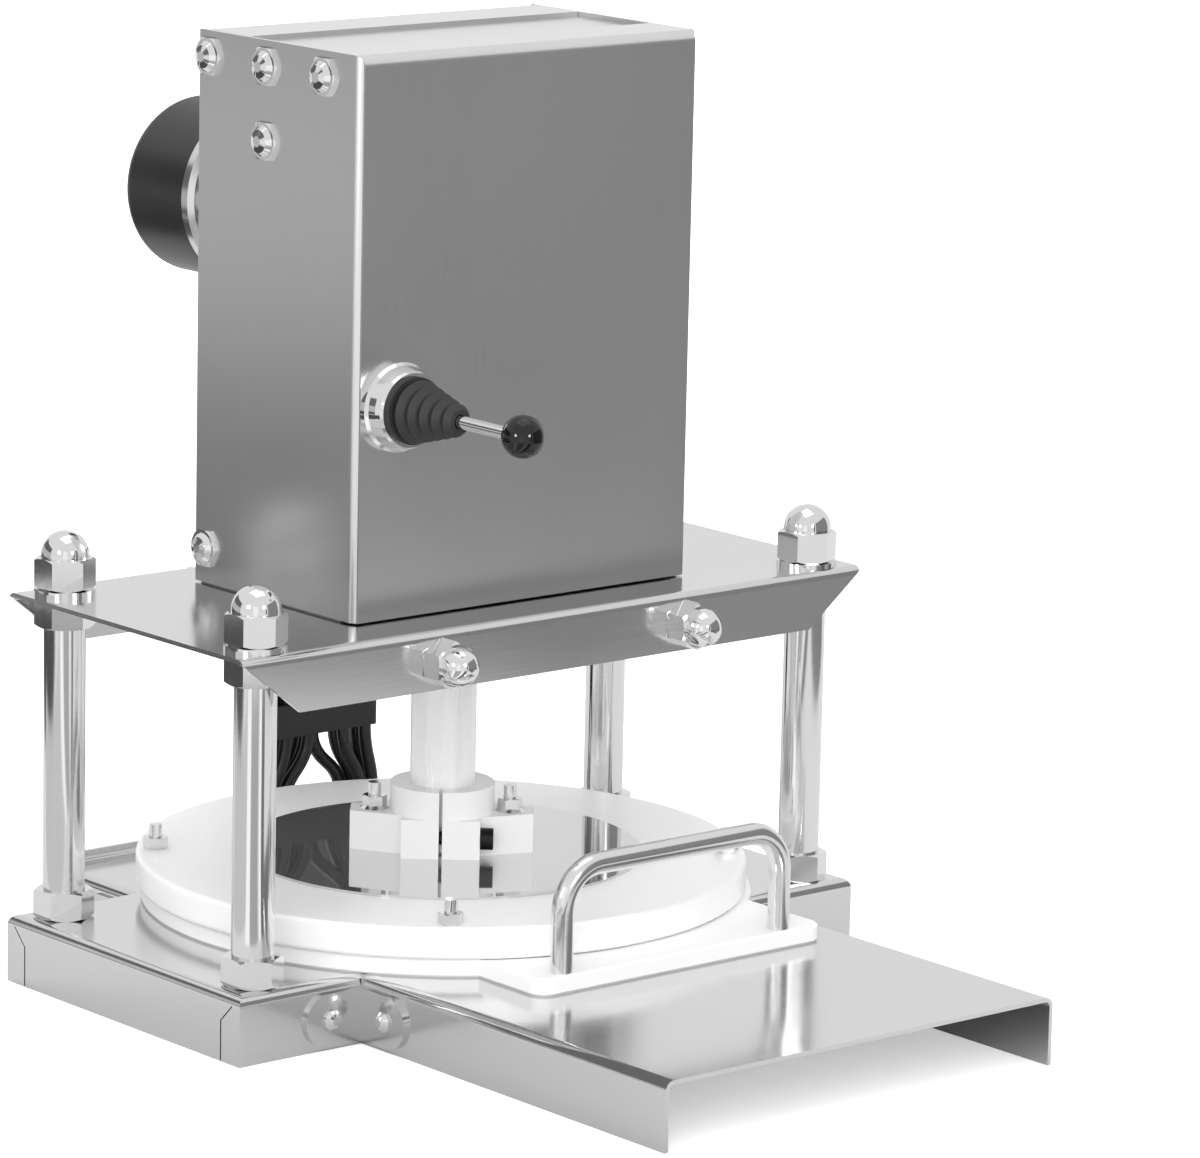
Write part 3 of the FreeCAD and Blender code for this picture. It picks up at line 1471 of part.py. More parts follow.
save("power_plug", make_plug())
save("cord_tie", make_tie_band())
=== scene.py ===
# %% [markdown]
# # An electric press for pizza dough
# The solids of the press come from its construction, so every piece already has its place.
# This lesson dresses them: it loads the solids, lays the power cord, turns the rubber boot
# of the joystick, gives each metal, plastic and rubber its finish, and lights the press in
# a plain white studio.

# %% Load the solids
import math
import bmesh
import bpy
from mathutils import Matrix, Vector


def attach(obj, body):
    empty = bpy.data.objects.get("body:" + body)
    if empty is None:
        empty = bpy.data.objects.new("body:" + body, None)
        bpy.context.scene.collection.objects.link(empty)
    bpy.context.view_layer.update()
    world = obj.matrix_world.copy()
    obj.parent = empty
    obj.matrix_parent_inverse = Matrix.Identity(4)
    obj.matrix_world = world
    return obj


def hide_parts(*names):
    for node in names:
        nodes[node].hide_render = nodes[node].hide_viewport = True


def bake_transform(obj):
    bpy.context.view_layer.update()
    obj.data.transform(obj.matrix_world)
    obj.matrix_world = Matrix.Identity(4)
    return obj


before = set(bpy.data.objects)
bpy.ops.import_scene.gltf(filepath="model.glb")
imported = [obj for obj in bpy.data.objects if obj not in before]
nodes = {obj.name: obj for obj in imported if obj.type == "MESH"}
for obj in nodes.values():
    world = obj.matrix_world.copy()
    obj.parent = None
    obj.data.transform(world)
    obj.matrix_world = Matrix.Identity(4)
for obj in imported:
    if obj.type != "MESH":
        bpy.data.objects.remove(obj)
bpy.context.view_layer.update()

print("solids", len(nodes))

# %% [markdown]
# ## Places on the press
# The middle of the shared frame is the middle of the footprint, but everything on the press
# is set out from the middle of its four columns, which lies further back. So places on the
# press are written in millimetres from there, and one helper takes them to the frame.

# %% Places
millimetre = 0.001
machine_y = 0.0654


def in_frame(x, y, z):
    """A place in millimetres from the middle of the columns, as metres in the shared frame."""
    return (x * millimetre, y * millimetre + machine_y, z * millimetre)


print("middle of the columns", in_frame(0, 0, 0))

# %% [markdown]
# ## The camera
# The photograph was taken with a long lens from the front left, a little above the press.
# A camera can be placed by eye, but then every piece looks slightly wrong. Here its angles
# were found from the straight edges of the sheet metal, so they are written as angles, a
# distance and the focal length of the lens. The picture is 1200 pixels wide.

# %% Camera
azimuth = math.radians(-40.45)
elevation = math.radians(11.8)
roll = math.radians(1.27)
distance = 2.8202
focal_pixels = 6213.65
picture_width = 1200
sensor_width = 36
aim_height = 0.22
aim_right = 0.07107
aim_up = -0.03922


def camera_axes():
    """Right, up and backward directions of the camera."""
    level_reach = math.cos(elevation)
    back = Vector((math.sin(azimuth) * level_reach, -math.cos(azimuth) * level_reach, math.sin(elevation)))
    level = Vector((math.cos(azimuth), math.sin(azimuth), 0))
    upward = level.cross(-back)
    right = math.cos(roll) * level + math.sin(roll) * upward
    up = -math.sin(roll) * level + math.cos(roll) * upward
    return right, up, back


right, up, back = camera_axes()
target = Vector((0, machine_y, aim_height)) + right * aim_right + up * aim_up
place = target + back * distance
camera_data = bpy.data.cameras.new("studio_camera")
camera_data.sensor_fit = "HORIZONTAL"
camera_data.sensor_width = sensor_width
camera_data.lens = focal_pixels / picture_width * sensor_width
camera = bpy.data.objects.new("studio_camera", camera_data)
camera.matrix_world = Matrix((
    (right.x, up.x, back.x, place.x),
    (right.y, up.y, back.y, place.y),
    (right.z, up.z, back.z, place.z),
    (0, 0, 0, 1)))
bpy.context.scene.collection.objects.link(camera)
bpy.context.scene.camera = camera
print("camera at", [round(v, 3) for v in place], "lens", round(camera_data.lens, 1), "mm")

# %% [markdown]
# ## The route of the power cord
# The cord leaves a gland low on the back panel, hangs down behind the press and is bundled
# on the bench behind the base, where the photograph shows a dark mass behind the disc. Spare
# cord could lie in a ring, but the photograph shows strands close together, as when long
# loops are drawn in by a tie. A curve is easier to read here than a mesh tube: a few points
# give its line and one value its thickness. A NURBS line of order 3 runs smoothly inside
# its points.

# %% Route
cord_diameter = 6.4 * millimetre
gland_tip = (12.0, 91.0, 205.0)
hanging = (gland_tip, (12.0, 110.0, 205.0), (12.5, 130.5, 200.0), (13.0, 147.0, 187.0),
           (12.4, 156.0, 168.0), (12.0, 158.0, 147.0))
to_plug = ((14.1, 150.8, 73.0), (14.1, 150.8, 49.2), (7.7, 151.8, 33.7), (-4.2, 153.2, 21.8),
           (-19.7, 154.4, 15.3), (-36.0, 154.4, 15.3))
coil_middle = 48.0
coil_widest = 36.0
coil_low = 37.7
coil_draw = 36.0
coil_waist = 16.0
waist_start = 0.6
waist_pitch_share = 1.85
coil_run = 2 * coil_draw + coil_waist
coil_high = coil_low + coil_run
coil_pitch = 7.2
coil_turns = 5
layer_rear = 158.0
layer_near = 150.8
steps_in_half_turn = 6


def waist_reach(reach):
    """How far from the middle line a strand passes the tie."""
    narrowest = coil_widest - coil_turns * coil_pitch / 2
    return waist_start + waist_pitch_share * (reach - narrowest)


def bend_corner(across, back):
    """How far along a run the corner of its sideways bend lies."""
    half = math.hypot(across, back) / 2
    return coil_draw / 4 + half * half / coil_draw


def strand(side, reach, y, far_y, level, sense):
    """Points of one run, drawn in to its place under the tie and out again."""
    wide = coil_middle + side * reach
    narrow = coil_middle + side * waist_reach(reach)
    enter = bend_corner(wide - narrow, 0)
    leave = bend_corner(wide - narrow, far_y - y)
    steps = ((wide, y, enter), (narrow, y, coil_draw - enter), (narrow, y, coil_run / 2),
             (narrow, y, coil_run - coil_draw + leave), (wide, far_y, coil_run - leave))
    return [(x, depth, level + sense * rise) for x, depth, rise in steps]


def half_turn(middle, radius, level, y, side, sense):
    """Points round half a circle, outside it by the amount that the smooth line cuts inside."""
    reach = radius / math.cos(math.pi / steps_in_half_turn / 2)
    points = []
    for step in range(steps_in_half_turn):
        angle = math.pi * (step + 0.5) / steps_in_half_turn
        across = side * reach * math.cos(angle)
        rise = sense * reach * math.sin(angle)
        points.append((middle + across, y, level + rise))
    return points


def coil_points():
    """The coil spirals in along the rear layer, crosses to the near one and spirals out."""
    reach = coil_widest
    side = -1
    y = layer_rear
    points = strand(side, reach, y, y, coil_high, -1)
    for n in range(2 * coil_turns):
        change = -coil_pitch / 2 if n < coil_turns else coil_pitch / 2
        after = reach + change
        level, sense = (coil_low, -1) if n % 2 == 0 else (coil_high, 1)
        start = coil_middle + side * reach
        end = coil_middle - side * after
        points += half_turn((start + end) / 2, abs(start - end) / 2, level, y, side, sense)
        reach = after
        side = -side
        far_y = layer_near if n >= coil_turns - 1 else layer_rear
        run = strand(side, reach, y, far_y, level, -sense)
        points += run if n < 2 * coil_turns - 1 else run[:2]
        y = far_y
    return points


route = list(hanging) + coil_points() + list(to_plug)
print("cord points", len(route))

# %% [markdown]
# ## A helper for curves
# The bevel is one metre and each point's radius scales it down to the cord's own, because
# Blender counts the points' radii, and not the bevel, into the box of a curve.
# The points are added first and the order after them, because a new spline with too few
# points falls back to straight runs.

# %% Cord curve
line_order = 3
steps_along_line = 5
steps_round_line = 5


def smooth_tube(name, points, diameter):
    curve = bpy.data.curves.new(name, "CURVE")
    curve.dimensions = "3D"
    curve.bevel_depth = 1.0
    curve.bevel_resolution = steps_round_line
    curve.resolution_u = steps_along_line
    curve.use_fill_caps = True
    line = curve.splines.new("NURBS")
    line.points.add(len(points) - 1)
    for control, point in zip(line.points, points):
        control.co = (*in_frame(*point), 1)
        control.radius = diameter / 2
    line.order_u = line_order
    line.use_endpoint_u = True
    tube = bpy.data.objects.new(name, curve)
    bpy.context.scene.collection.objects.link(tube)
    return tube


cord = smooth_tube("mains_cord", route, cord_diameter)
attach(cord, "frame")
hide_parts("power_cord", "cord_coil")

# %% [markdown]
# ## The rubber boot of the joystick
# The boot keeps flour and water out of the joystick, so its foot stays on the steel ring
# while its tip goes along with the lever. Rubber bellows do that, and they are moulded in
# one piece. The drawing has the boot as a straight solid, which the lever would pierce.
# Here it is turned from one outline into a mesh of its own.

# %% Boot
stick_start = Vector(in_frame(-74.6, -58.2, 276.0))
ring_length = 12.0 * millimetre
boot_foot_length = 2.0 * millimetre
boot_foot_radius = 15.0 * millimetre
boot_length = 45.0 * millimetre
first_crest = 14.0 * millimetre
last_crest = 7.5 * millimetre
groove_depth = 2.2 * millimetre
boot_wall = 2.5 * millimetre
lever_bore = 3.3 * millimetre
boot_ribs = 5
points_on_rib = 12
steps_round_boot = 72
sharp_corner = math.radians(50)


def boot_outline():
    """Radius and distance from the housing: out along the ribs and back along the inside."""
    start = ring_length + boot_foot_length
    rib = (boot_length - start) / boot_ribs
    inner_wide = first_crest - groove_depth - boot_wall
    outline = [(inner_wide, ring_length), (boot_foot_radius, ring_length), (boot_foot_radius, start)]
    for n in range(boot_ribs):
        crest = first_crest + (last_crest - first_crest) * n / (boot_ribs - 1)
        for step in range(points_on_rib):
            part = (step + 0.5) / points_on_rib
            depth = groove_depth * math.cos(math.pi * part) ** 2
            outline.append((crest - depth, start + rib * (n + part)))
    outline.append((last_crest - groove_depth, boot_length))
    outline.append((lever_bore, boot_length))
    outline.append((lever_bore, boot_length - rib))
    outline.append((inner_wide, start + boot_wall))
    return outline


def make_boot():
    plan = bmesh.new()
    corners = [plan.verts.new(stick_start + Vector((radius, -out, 0))) for radius, out in boot_outline()]
    edges = [plan.edges.new((corners[n - 1], corners[n])) for n in range(len(corners))]
    bmesh.ops.spin(plan, geom=corners + edges, cent=stick_start, axis=(0, 1, 0), angle=2 * math.pi,
                   steps=steps_round_boot, use_merge=True)
    bmesh.ops.recalc_face_normals(plan, faces=plan.faces)
    for face in plan.faces:
        face.smooth = True
    mesh = bpy.data.meshes.new("bellows_boot")
    plan.to_mesh(mesh)
    plan.free()
    mesh.set_sharp_from_angle(angle=sharp_corner)
    made = bpy.data.objects.new("bellows_boot", mesh)
    bpy.context.scene.collection.objects.link(made)
    return made


boot = make_boot()
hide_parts("lever_boot")
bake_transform(boot)
print("boot faces", len(boot.data.polygons))

# %% [markdown]
# ## How a finish is built
# Every finish here is a Principled shader with a few nodes in front of it. The small
# helpers below keep that short: one makes the material and hands back its shader, one
# adds a node with its inputs set, and one gives a finish to a list of solids and says so.

# %% Material helpers
def new_finish(name, colour, roughness, metallic=0.0):
    finish = bpy.data.materials.new(name)
    finish.use_nodes = True
    shader = finish.node_tree.nodes["Principled BSDF"]
    shader.inputs["Base Color"].default_value = (*colour, 1)
    shader.inputs["Roughness"].default_value = roughness
    shader.inputs["Metallic"].default_value = metallic
    return finish, shader


def add_node(tree, kind, **values):
    node = tree.nodes.new(kind)
    for socket, value in values.items():
        node.inputs[socket.replace("_", " ")].default_value = value
    return node


def give(finish, *names):
    for name in names:
        solid = nodes[name]
        solid.data.materials.clear()
        solid.data.materials.append(finish)
    print(finish.name, "on", len(names), "solids")


# %% [markdown]
# ## Brushing on steel sheet
# Stainless sheet is ground with a belt, which leaves fine lines in one direction, and
# handling leaves faint cloudy patches. The lines could be an image, but a noise stretched
# more than a hundred times longer than wide gives them at any size. The group puts out a
# tone that multiplies the colour, a roughness and a height for the bump.

# %% Brushing group
def socket(group, name, kind, way, value=None):
    made = group.interface.new_socket(name=name, in_out=way, socket_type=kind)
    if value is not None:
        made.default_value = value


def stretch(tree, source, scale):
    mapping = tree.nodes.new("ShaderNodeMapping")
    tree.links.new(source, mapping.inputs["Vector"])
    tree.links.new(scale, mapping.inputs["Scale"])
    return mapping.outputs["Vector"]


noise_low = 0.3
noise_high = 0.7


def spread(tree, value, low, high):
    """Take a noise value, which lies mostly between two values, to the range from low to high."""
    ranged = tree.nodes.new("ShaderNodeMapRange")
    ranged.inputs["From Min"].default_value = noise_low
    ranged.inputs["From Max"].default_value = noise_high
    tree.links.new(value, ranged.inputs["Value"])
    for name, end in (("To Min", low), ("To Max", high)):
        if isinstance(end, float):
            ranged.inputs[name].default_value = end
        else:
            tree.links.new(end, ranged.inputs[name])
    return ranged.outputs["Result"]


cloud_share = 0.55


def make_brushing():
    group = bpy.data.node_groups.new("brushing", "ShaderNodeTree")
    socket(group, "Line scale", "NodeSocketVector", "INPUT", (8.0, 900.0, 900.0))
    socket(group, "Cloud scale", "NodeSocketVector", "INPUT", (9.0, 9.0, 9.0))
    socket(group, "Darkest", "NodeSocketFloat", "INPUT", 0.9)
    socket(group, "Smoothest", "NodeSocketFloat", "INPUT", 0.2)
    socket(group, "Roughest", "NodeSocketFloat", "INPUT", 0.32)
    socket(group, "Tone", "NodeSocketFloat", "OUTPUT")
    socket(group, "Roughness", "NodeSocketFloat", "OUTPUT")
    socket(group, "Height", "NodeSocketFloat", "OUTPUT")
    given = group.nodes.new("NodeGroupInput")
    result = group.nodes.new("NodeGroupOutput")
    place_in = group.nodes.new("ShaderNodeTexCoord").outputs["Object"]
    lines = add_node(group, "ShaderNodeTexNoise", Scale=1.0, Detail=3.0)
    clouds = add_node(group, "ShaderNodeTexNoise", Scale=1.0, Detail=2.0, Distortion=0.4)
    group.links.new(stretch(group, place_in, given.outputs["Line scale"]), lines.inputs["Vector"])
    group.links.new(stretch(group, place_in, given.outputs["Cloud scale"]), clouds.inputs["Vector"])
    both = group.nodes.new("ShaderNodeMix")
    both.inputs["Factor"].default_value = cloud_share
    group.links.new(lines.outputs["Fac"], both.inputs["A"])
    group.links.new(clouds.outputs["Fac"], both.inputs["B"])
    mixed = both.outputs["Result"]
    group.links.new(spread(group, mixed, given.outputs["Darkest"], 1.0), result.inputs["Tone"])
    rough = spread(group, mixed, given.outputs["Smoothest"], given.outputs["Roughest"])
    group.links.new(rough, result.inputs["Roughness"])
    group.links.new(lines.outputs["Fac"], result.inputs["Height"])
    return group


brushing = make_brushing()
print("group", brushing.name, "with", len(brushing.nodes), "nodes")

# %% [markdown]
# ## Steel sheet and steel bar
# One function makes every steel of the press, because they differ only in how bright,
# how smooth and in which direction they were worked. Nuts and bars are polished, the
# housing is satin, and inner pieces are plain machined steel. The lines are too fine to
# model, so they are a bump at a small strength.

# %% Steel helpers
def add_group(tree, group, values):
    node = tree.nodes.new("ShaderNodeGroup")
    node.node_tree = group
    for name, value in values.items():
        node.inputs[name].default_value = value
    return node


def tinted(tree, tone, colour):
    """The colour multiplied by a tone that changes over the surface."""
    mix = tree.nodes.new("ShaderNodeMix")
    mix.data_type = "RGBA"
    mix.blend_type = "MULTIPLY"
    mix.inputs["Factor"].default_value = 1.0
    mix.inputs["A"].default_value = (*colour, 1)
    tree.links.new(tone, mix.inputs["B"])
    return mix.outputs["Result"]


def add_bump(tree, height, shader, depth, strength):
    bump = tree.nodes.new("ShaderNodeBump")
    bump.inputs["Strength"].default_value = strength
    bump.inputs["Distance"].default_value = depth
    tree.links.new(height, bump.inputs["Height"])
    tree.links.new(bump.outputs["Normal"], shader.inputs["Normal"])


brushing_depth = 0.2 * millimetre


def make_steel(name, colour, smoothest, roughest, line_scale, darkest=0.9, bump=0.06):
    finish, shader = new_finish(name, colour, roughest, 1.0)
    tree = finish.node_tree
    worked = add_group(tree, brushing, {"Line scale": line_scale, "Darkest": darkest,
                                        "Smoothest": smoothest, "Roughest": roughest})
    tree.links.new(tinted(tree, worked.outputs["Tone"], colour), shader.inputs["Base Color"])
    tree.links.new(worked.outputs["Roughness"], shader.inputs["Roughness"])
    add_bump(tree, worked.outputs["Height"], shader, brushing_depth, bump)
    return finish


# %% [markdown]
# ## Haze over a mirror
# The round plate on the disc is polished like a mirror, and yet it shows a faint even light
# beside the sharp images. One shader has a single roughness, so a second and much rougher
# one is mixed in with a small share.

# %% Haze
def add_haze(finish, share, roughness):
    """The faint scatter that polishing leaves over a mirror."""
    tree = finish.node_tree
    mirror = tree.nodes["Principled BSDF"]
    haze = tree.nodes.new("ShaderNodeBsdfPrincipled")
    haze.inputs["Metallic"].default_value = 1.0
    haze.inputs["Roughness"].default_value = roughness
    tree.links.new(mirror.inputs["Base Color"].links[0].from_socket, haze.inputs["Base Color"])
    mix = tree.nodes.new("ShaderNodeMixShader")
    mix.inputs["Fac"].default_value = share
    tree.links.new(mirror.outputs["BSDF"], mix.inputs[1])
    tree.links.new(haze.outputs["BSDF"], mix.inputs[2])
    tree.links.new(mix.outputs["Shader"], tree.nodes["Material Output"].inputs["Surface"])


# %% [markdown]
# ## The steels of this press
# Three scales say how fine the lines are along each axis: the flat sheets and the handle are
# brushed from left to right, the housing and the bars along their height, and small turned
# pieces have no direction. The ram looks almost white, as a bar does that is ground dull
# and spreads the room's light. A pure metal would need glare for that, so the ram is metal
# only in part.

# %% Steels
along_x = (7.0, 1100.0, 1100.0)
along_z = (1100.0, 1100.0, 7.0)
even = (500.0, 500.0, 500.0)
ram_metal_share = 0.35
haze_share = 0.13
haze_roughness = 0.55
housing_steel = make_steel("satin housing sheet", (0.74, 0.74, 0.745), 0.27, 0.31, along_z, 0.975, 0.01)
plate_steel = make_steel("bright folded sheet", (0.72, 0.72, 0.725), 0.13, 0.20, along_x, 0.95, 0.02)
base_steel = make_steel("base sheet", (0.72, 0.72, 0.725), 0.11, 0.17, along_x, 0.95, 0.03)
polished_steel = make_steel("polished nuts and bolts", (0.80, 0.80, 0.80), 0.06, 0.11, even, 0.94, 0.02)
bar_steel = make_steel("ground round bar", (0.78, 0.78, 0.785), 0.09, 0.14, along_z, 0.95, 0.02)
ram_steel = make_steel("honed ram bar", (0.95, 0.95, 0.95), 0.26, 0.30, along_z, 0.985, 0.003)
ram_steel.node_tree.nodes["Principled BSDF"].inputs["Metallic"].default_value = ram_metal_share
handle_steel = make_steel("polished handle bar", (0.78, 0.78, 0.785), 0.15, 0.21, along_x, 0.95, 0.02)
mirror_steel = make_steel("mirror sheet", (0.74, 0.74, 0.745), 0.02, 0.05, even, 0.97, 0.005)
add_haze(mirror_steel, haze_share, haze_roughness)
inner_steel = make_steel("machined inner steel", (0.46, 0.465, 0.47), 0.30, 0.42, even, 0.85)
black_steel = make_steel("blackened screw steel", (0.035, 0.035, 0.036), 0.35, 0.5, even, 0.8)
bush_bronze = make_steel("bearing bronze", (0.62, 0.44, 0.24), 0.25, 0.38, even, 0.85)
motor_metal = make_steel("turned motor body", (0.72, 0.72, 0.725), 0.14, 0.24, along_z, 0.9)
print("metal in the ram", ram_metal_share, "haze over the mirror", haze_share)

# %% [markdown]
# ## Which piece has which steel
# A finish goes to all the pieces that a workshop would make from the same stock.

# %% Steel pieces
give(housing_steel, "housing_shell", "back_panel", "top_cover")
give(plate_steel, "top_plate")
give(base_steel, "base_tray", "corner_brackets")
give(polished_steel, "foot_nuts", "plate_nuts", "plate_washers", "acorn_nuts", "tie_rod_locknuts",
     "tie_rod_acorns", "frame_bolts", "bush_screws", "bracket_bolts", "hub_bolts", "disc_bolts",
     "joystick_bezel", "lever_rod")
give(bar_steel, "column_front_left", "column_front_right", "column_rear_left", "column_rear_right",
     "tie_rods")
give(ram_steel, "ram_shaft")
give(handle_steel, "tray_handle")
give(mirror_steel, "mirror_plate")
give(inner_steel, "base_beam_front", "base_beam_rear", "side_rail_left", "side_rail_right",
     "gear_plate_front", "gear_plate_rear", "motor_screws", "shaft_bearings", "lever_pin",
     "drive_rack", "rack_screws", "output_shaft", "drive_pinion", "shaft_key",
     "handle_screws")
give(black_steel, "clamp_screw")
give(bush_bronze, "ram_bush", "rack_guide")
give(motor_metal, "gearmotor_body")

# %% [markdown]
# ## Plastics, rubber and the coated casting
# White food plastic is slightly uneven, black mouldings have a fine grain, and rubber is
# duller. A fine noise gives all of them a surface; what differs is its size, its depth
# and the gloss on top.

# %% Moulded grain group
def make_moulding():
    group = bpy.data.node_groups.new("moulded_grain", "ShaderNodeTree")
    socket(group, "Grain scale", "NodeSocketFloat", "INPUT", 900.0)
    socket(group, "Darkest", "NodeSocketFloat", "INPUT", 0.95)
    socket(group, "Smoothest", "NodeSocketFloat", "INPUT", 0.35)
    socket(group, "Roughest", "NodeSocketFloat", "INPUT", 0.5)
    socket(group, "Tone", "NodeSocketFloat", "OUTPUT")
    socket(group, "Roughness", "NodeSocketFloat", "OUTPUT")
    socket(group, "Height", "NodeSocketFloat", "OUTPUT")
    given = group.nodes.new("NodeGroupInput")
    result = group.nodes.new("NodeGroupOutput")
    place_in = group.nodes.new("ShaderNodeTexCoord").outputs["Object"]
    grain = add_node(group, "ShaderNodeTexNoise", Detail=2.0)
    patches = add_node(group, "ShaderNodeTexNoise", Scale=14.0, Detail=3.0)
    group.links.new(place_in, grain.inputs["Vector"])
    group.links.new(place_in, patches.inputs["Vector"])
    group.links.new(given.outputs["Grain scale"], grain.inputs["Scale"])
    uneven = patches.outputs["Fac"]
    group.links.new(spread(group, uneven, given.outputs["Darkest"], 1.0), result.inputs["Tone"])
    rough = spread(group, uneven, given.outputs["Smoothest"], given.outputs["Roughest"])
    group.links.new(rough, result.inputs["Roughness"])
    group.links.new(grain.outputs["Fac"], result.inputs["Height"])
    return group


moulding = make_moulding()
print("group", moulding.name, "with", len(moulding.nodes), "nodes")

# %% [markdown]
# ## Plastic, rubber and cast pieces
# The disc and the board are white food plastic, the clamp on the ram is a pale coated
# casting, and the motor's cowl and the cord's fittings are black mouldings. The ball of the
# joystick is the one glossy piece, with hardly any grain.

# %% Moulded finishes
grain_depth = 0.1 * millimetre
ball_grain_depth = 0.02 * millimetre
grain_strength = 0.15


def make_moulded(name, colour, smoothest, roughest, grain_scale, darkest=0.95, depth=grain_depth):
    finish, shader = new_finish(name, colour, roughest)
    tree = finish.node_tree
    surface = add_group(tree, moulding, {"Grain scale": grain_scale, "Darkest": darkest,
                                         "Smoothest": smoothest, "Roughest": roughest})
    tree.links.new(tinted(tree, surface.outputs["Tone"], colour), shader.inputs["Base Color"])
    tree.links.new(surface.outputs["Roughness"], shader.inputs["Roughness"])
    add_bump(tree, surface.outputs["Height"], shader, depth, grain_strength)
    return finish


white_plastic = make_moulded("white food plastic", (0.93, 0.93, 0.925), 0.30, 0.42, 500.0, 0.98)
white_casting = make_moulded("pale coated casting", (0.91, 0.91, 0.905), 0.28, 0.40, 700.0, 0.97)
black_moulding = make_moulded("black moulding", (0.018, 0.018, 0.019), 0.32, 0.45, 1200.0, 0.8)
black_rubber = make_moulded("black rubber", (0.022, 0.022, 0.022), 0.45, 0.6, 1500.0, 0.8)
cord_rubber = make_moulded("cord sheath", (0.012, 0.012, 0.012), 0.22, 0.34, 1500.0, 0.85)
ball_gloss = make_moulded("glossy black ball", (0.003, 0.003, 0.003), 0.05, 0.09, 900.0, 0.9,
                          ball_grain_depth)

give(white_plastic, "press_disc", "tray_board")
give(white_casting, "hub_clamp")
give(black_moulding, "motor_cowl", "limit_switches", "joystick_body", "cord_gland", "cord_tie",
     "power_plug")
boot.data.materials.append(black_rubber)
give(ball_gloss, "ball_knob")
cord.data.materials.append(cord_rubber)

# %% [markdown]
# ## The studio
# The floor and the air are white to the camera, and the sky's even light makes the soft
# shadows. The background could be made white with stronger lamps, but then the white
# plastic would lose its shape, so a little glow that only the camera sees does it.

# %% Floor
floor_reach = 9.0
floor_tone = 0.66
floor_roughness = 0.9
floor_glow = 0.40


def make_floor():
    plan = bmesh.new()
    bmesh.ops.create_grid(plan, x_segments=1, y_segments=1, size=floor_reach)
    mesh = bpy.data.meshes.new("studio_floor")
    plan.to_mesh(mesh)
    plan.free()
    floor = bpy.data.objects.new("studio_floor", mesh)
    bpy.context.scene.collection.objects.link(floor)
    finish, shader = new_finish("white floor", (floor_tone, floor_tone, floor_tone), floor_roughness)
    tree = finish.node_tree
    path = tree.nodes.new("ShaderNodeLightPath")
    mix = tree.nodes.new("ShaderNodeMix")
    mix.data_type = "RGBA"
    mix.inputs["A"].default_value = (floor_tone, floor_tone, floor_tone, 1)
    mix.inputs["B"].default_value = (1, 1, 1, 1)
    tree.links.new(path.outputs["Is Camera Ray"], mix.inputs["Factor"])
    tree.links.new(mix.outputs["Result"], shader.inputs["Base Color"])
    shader.inputs["Specular IOR Level"].default_value = 0.0
    shader.inputs["Emission Color"].default_value = (1, 1, 1, 1)
    glow = tree.nodes.new("ShaderNodeMath")
    glow.operation = "MULTIPLY"
    glow.inputs[1].default_value = floor_glow
    tree.links.new(path.outputs["Is Camera Ray"], glow.inputs[0])
    tree.links.new(glow.outputs["Value"], shader.inputs["Emission Strength"])
    floor.data.materials.append(finish)
    return floor


floor = make_floor()
print("floor", [round(v, 1) for v in floor.dimensions])

# %% [markdown]
# ## The air of the studio
# One white world does three jobs here. It lights the plastic a little more strongly than
# it shows in the steel, so that the steel keeps its greys, and to the camera it is plain
# white paper. Blender's usual view softens bright tones as film does and would turn the
# paper grey, so the plain Standard view is set.

# %% World
sky_light = 1.05
mirrored_light = 0.88
paper_light = 1.0


def add_level(tree, ray, otherwise, wanted):
    """The wanted strength for one kind of ray, and otherwise the other one."""
    level = tree.nodes.new("ShaderNodeMapRange")
    tree.links.new(ray, level.inputs["Value"])
    level.inputs["To Max"].default_value = wanted
    if isinstance(otherwise, float):
        level.inputs["To Min"].default_value = otherwise
    else:
        tree.links.new(otherwise, level.inputs["To Min"])
    return level.outputs["Result"]


world = bpy.data.worlds.new("studio")
bpy.context.scene.world = world
world.use_nodes = True
sky = world.node_tree
background = sky.nodes["Background"]
rays = sky.nodes.new("ShaderNodeLightPath").outputs
on_the_press = add_level(sky, rays["Is Glossy Ray"], sky_light, mirrored_light)
strength = add_level(sky, rays["Is Camera Ray"], on_the_press, paper_light)
sky.links.new(strength, background.inputs["Strength"])
background.inputs["Color"].default_value = (1, 1, 1, 1)
bpy.context.scene.view_settings.view_transform = "Standard"
print("sky light", sky_light, "in the steel", mirrored_light)

# %% [markdown]
# ## Soft suns
# Three wide suns give the white plastic its light and dark sides. Mirrors don't show them,
# because a sun in a polished sheet burns out its whole face.

# %% Suns
def add_sun(name, energy, width, tilt, turn):
    """A sun as wide as an angle, tipped from overhead by the tilt and turned about the upright axis."""
    data = bpy.data.lights.new(name, "SUN")
    data.energy = energy
    data.angle = math.radians(width)
    lamp = bpy.data.objects.new(name, data)
    lamp.rotation_euler = (math.radians(tilt), 0, math.radians(turn))
    lamp.visible_glossy = False
    bpy.context.scene.collection.objects.link(lamp)


add_sun("fill_sun", 0.9, 40, 76, -42)
add_sun("front_sun", 0.6, 50, 45, -50)
add_sun("back_sun", 0.7, 60, 52, 150)
print("suns", [lamp.name for lamp in bpy.data.lights])

# %% [markdown]
# ## Boards and fans
# Polished steel shows only what stands round it, and in an empty white room it turns into
# plain white. A photographer puts up grey and white boards, one for each face that should
# be darker or brighter. The boards here do the same and are seen in reflections alone.
# The columns look down at the floor before them, so their dark and bright stripes come
# from low wedges that spread from the front left column like a fan.

# %% Board and fan helpers
fan_middle = (-0.148, -0.002)
fan_level = 0.035
fan_start = -130.6
put_up = []


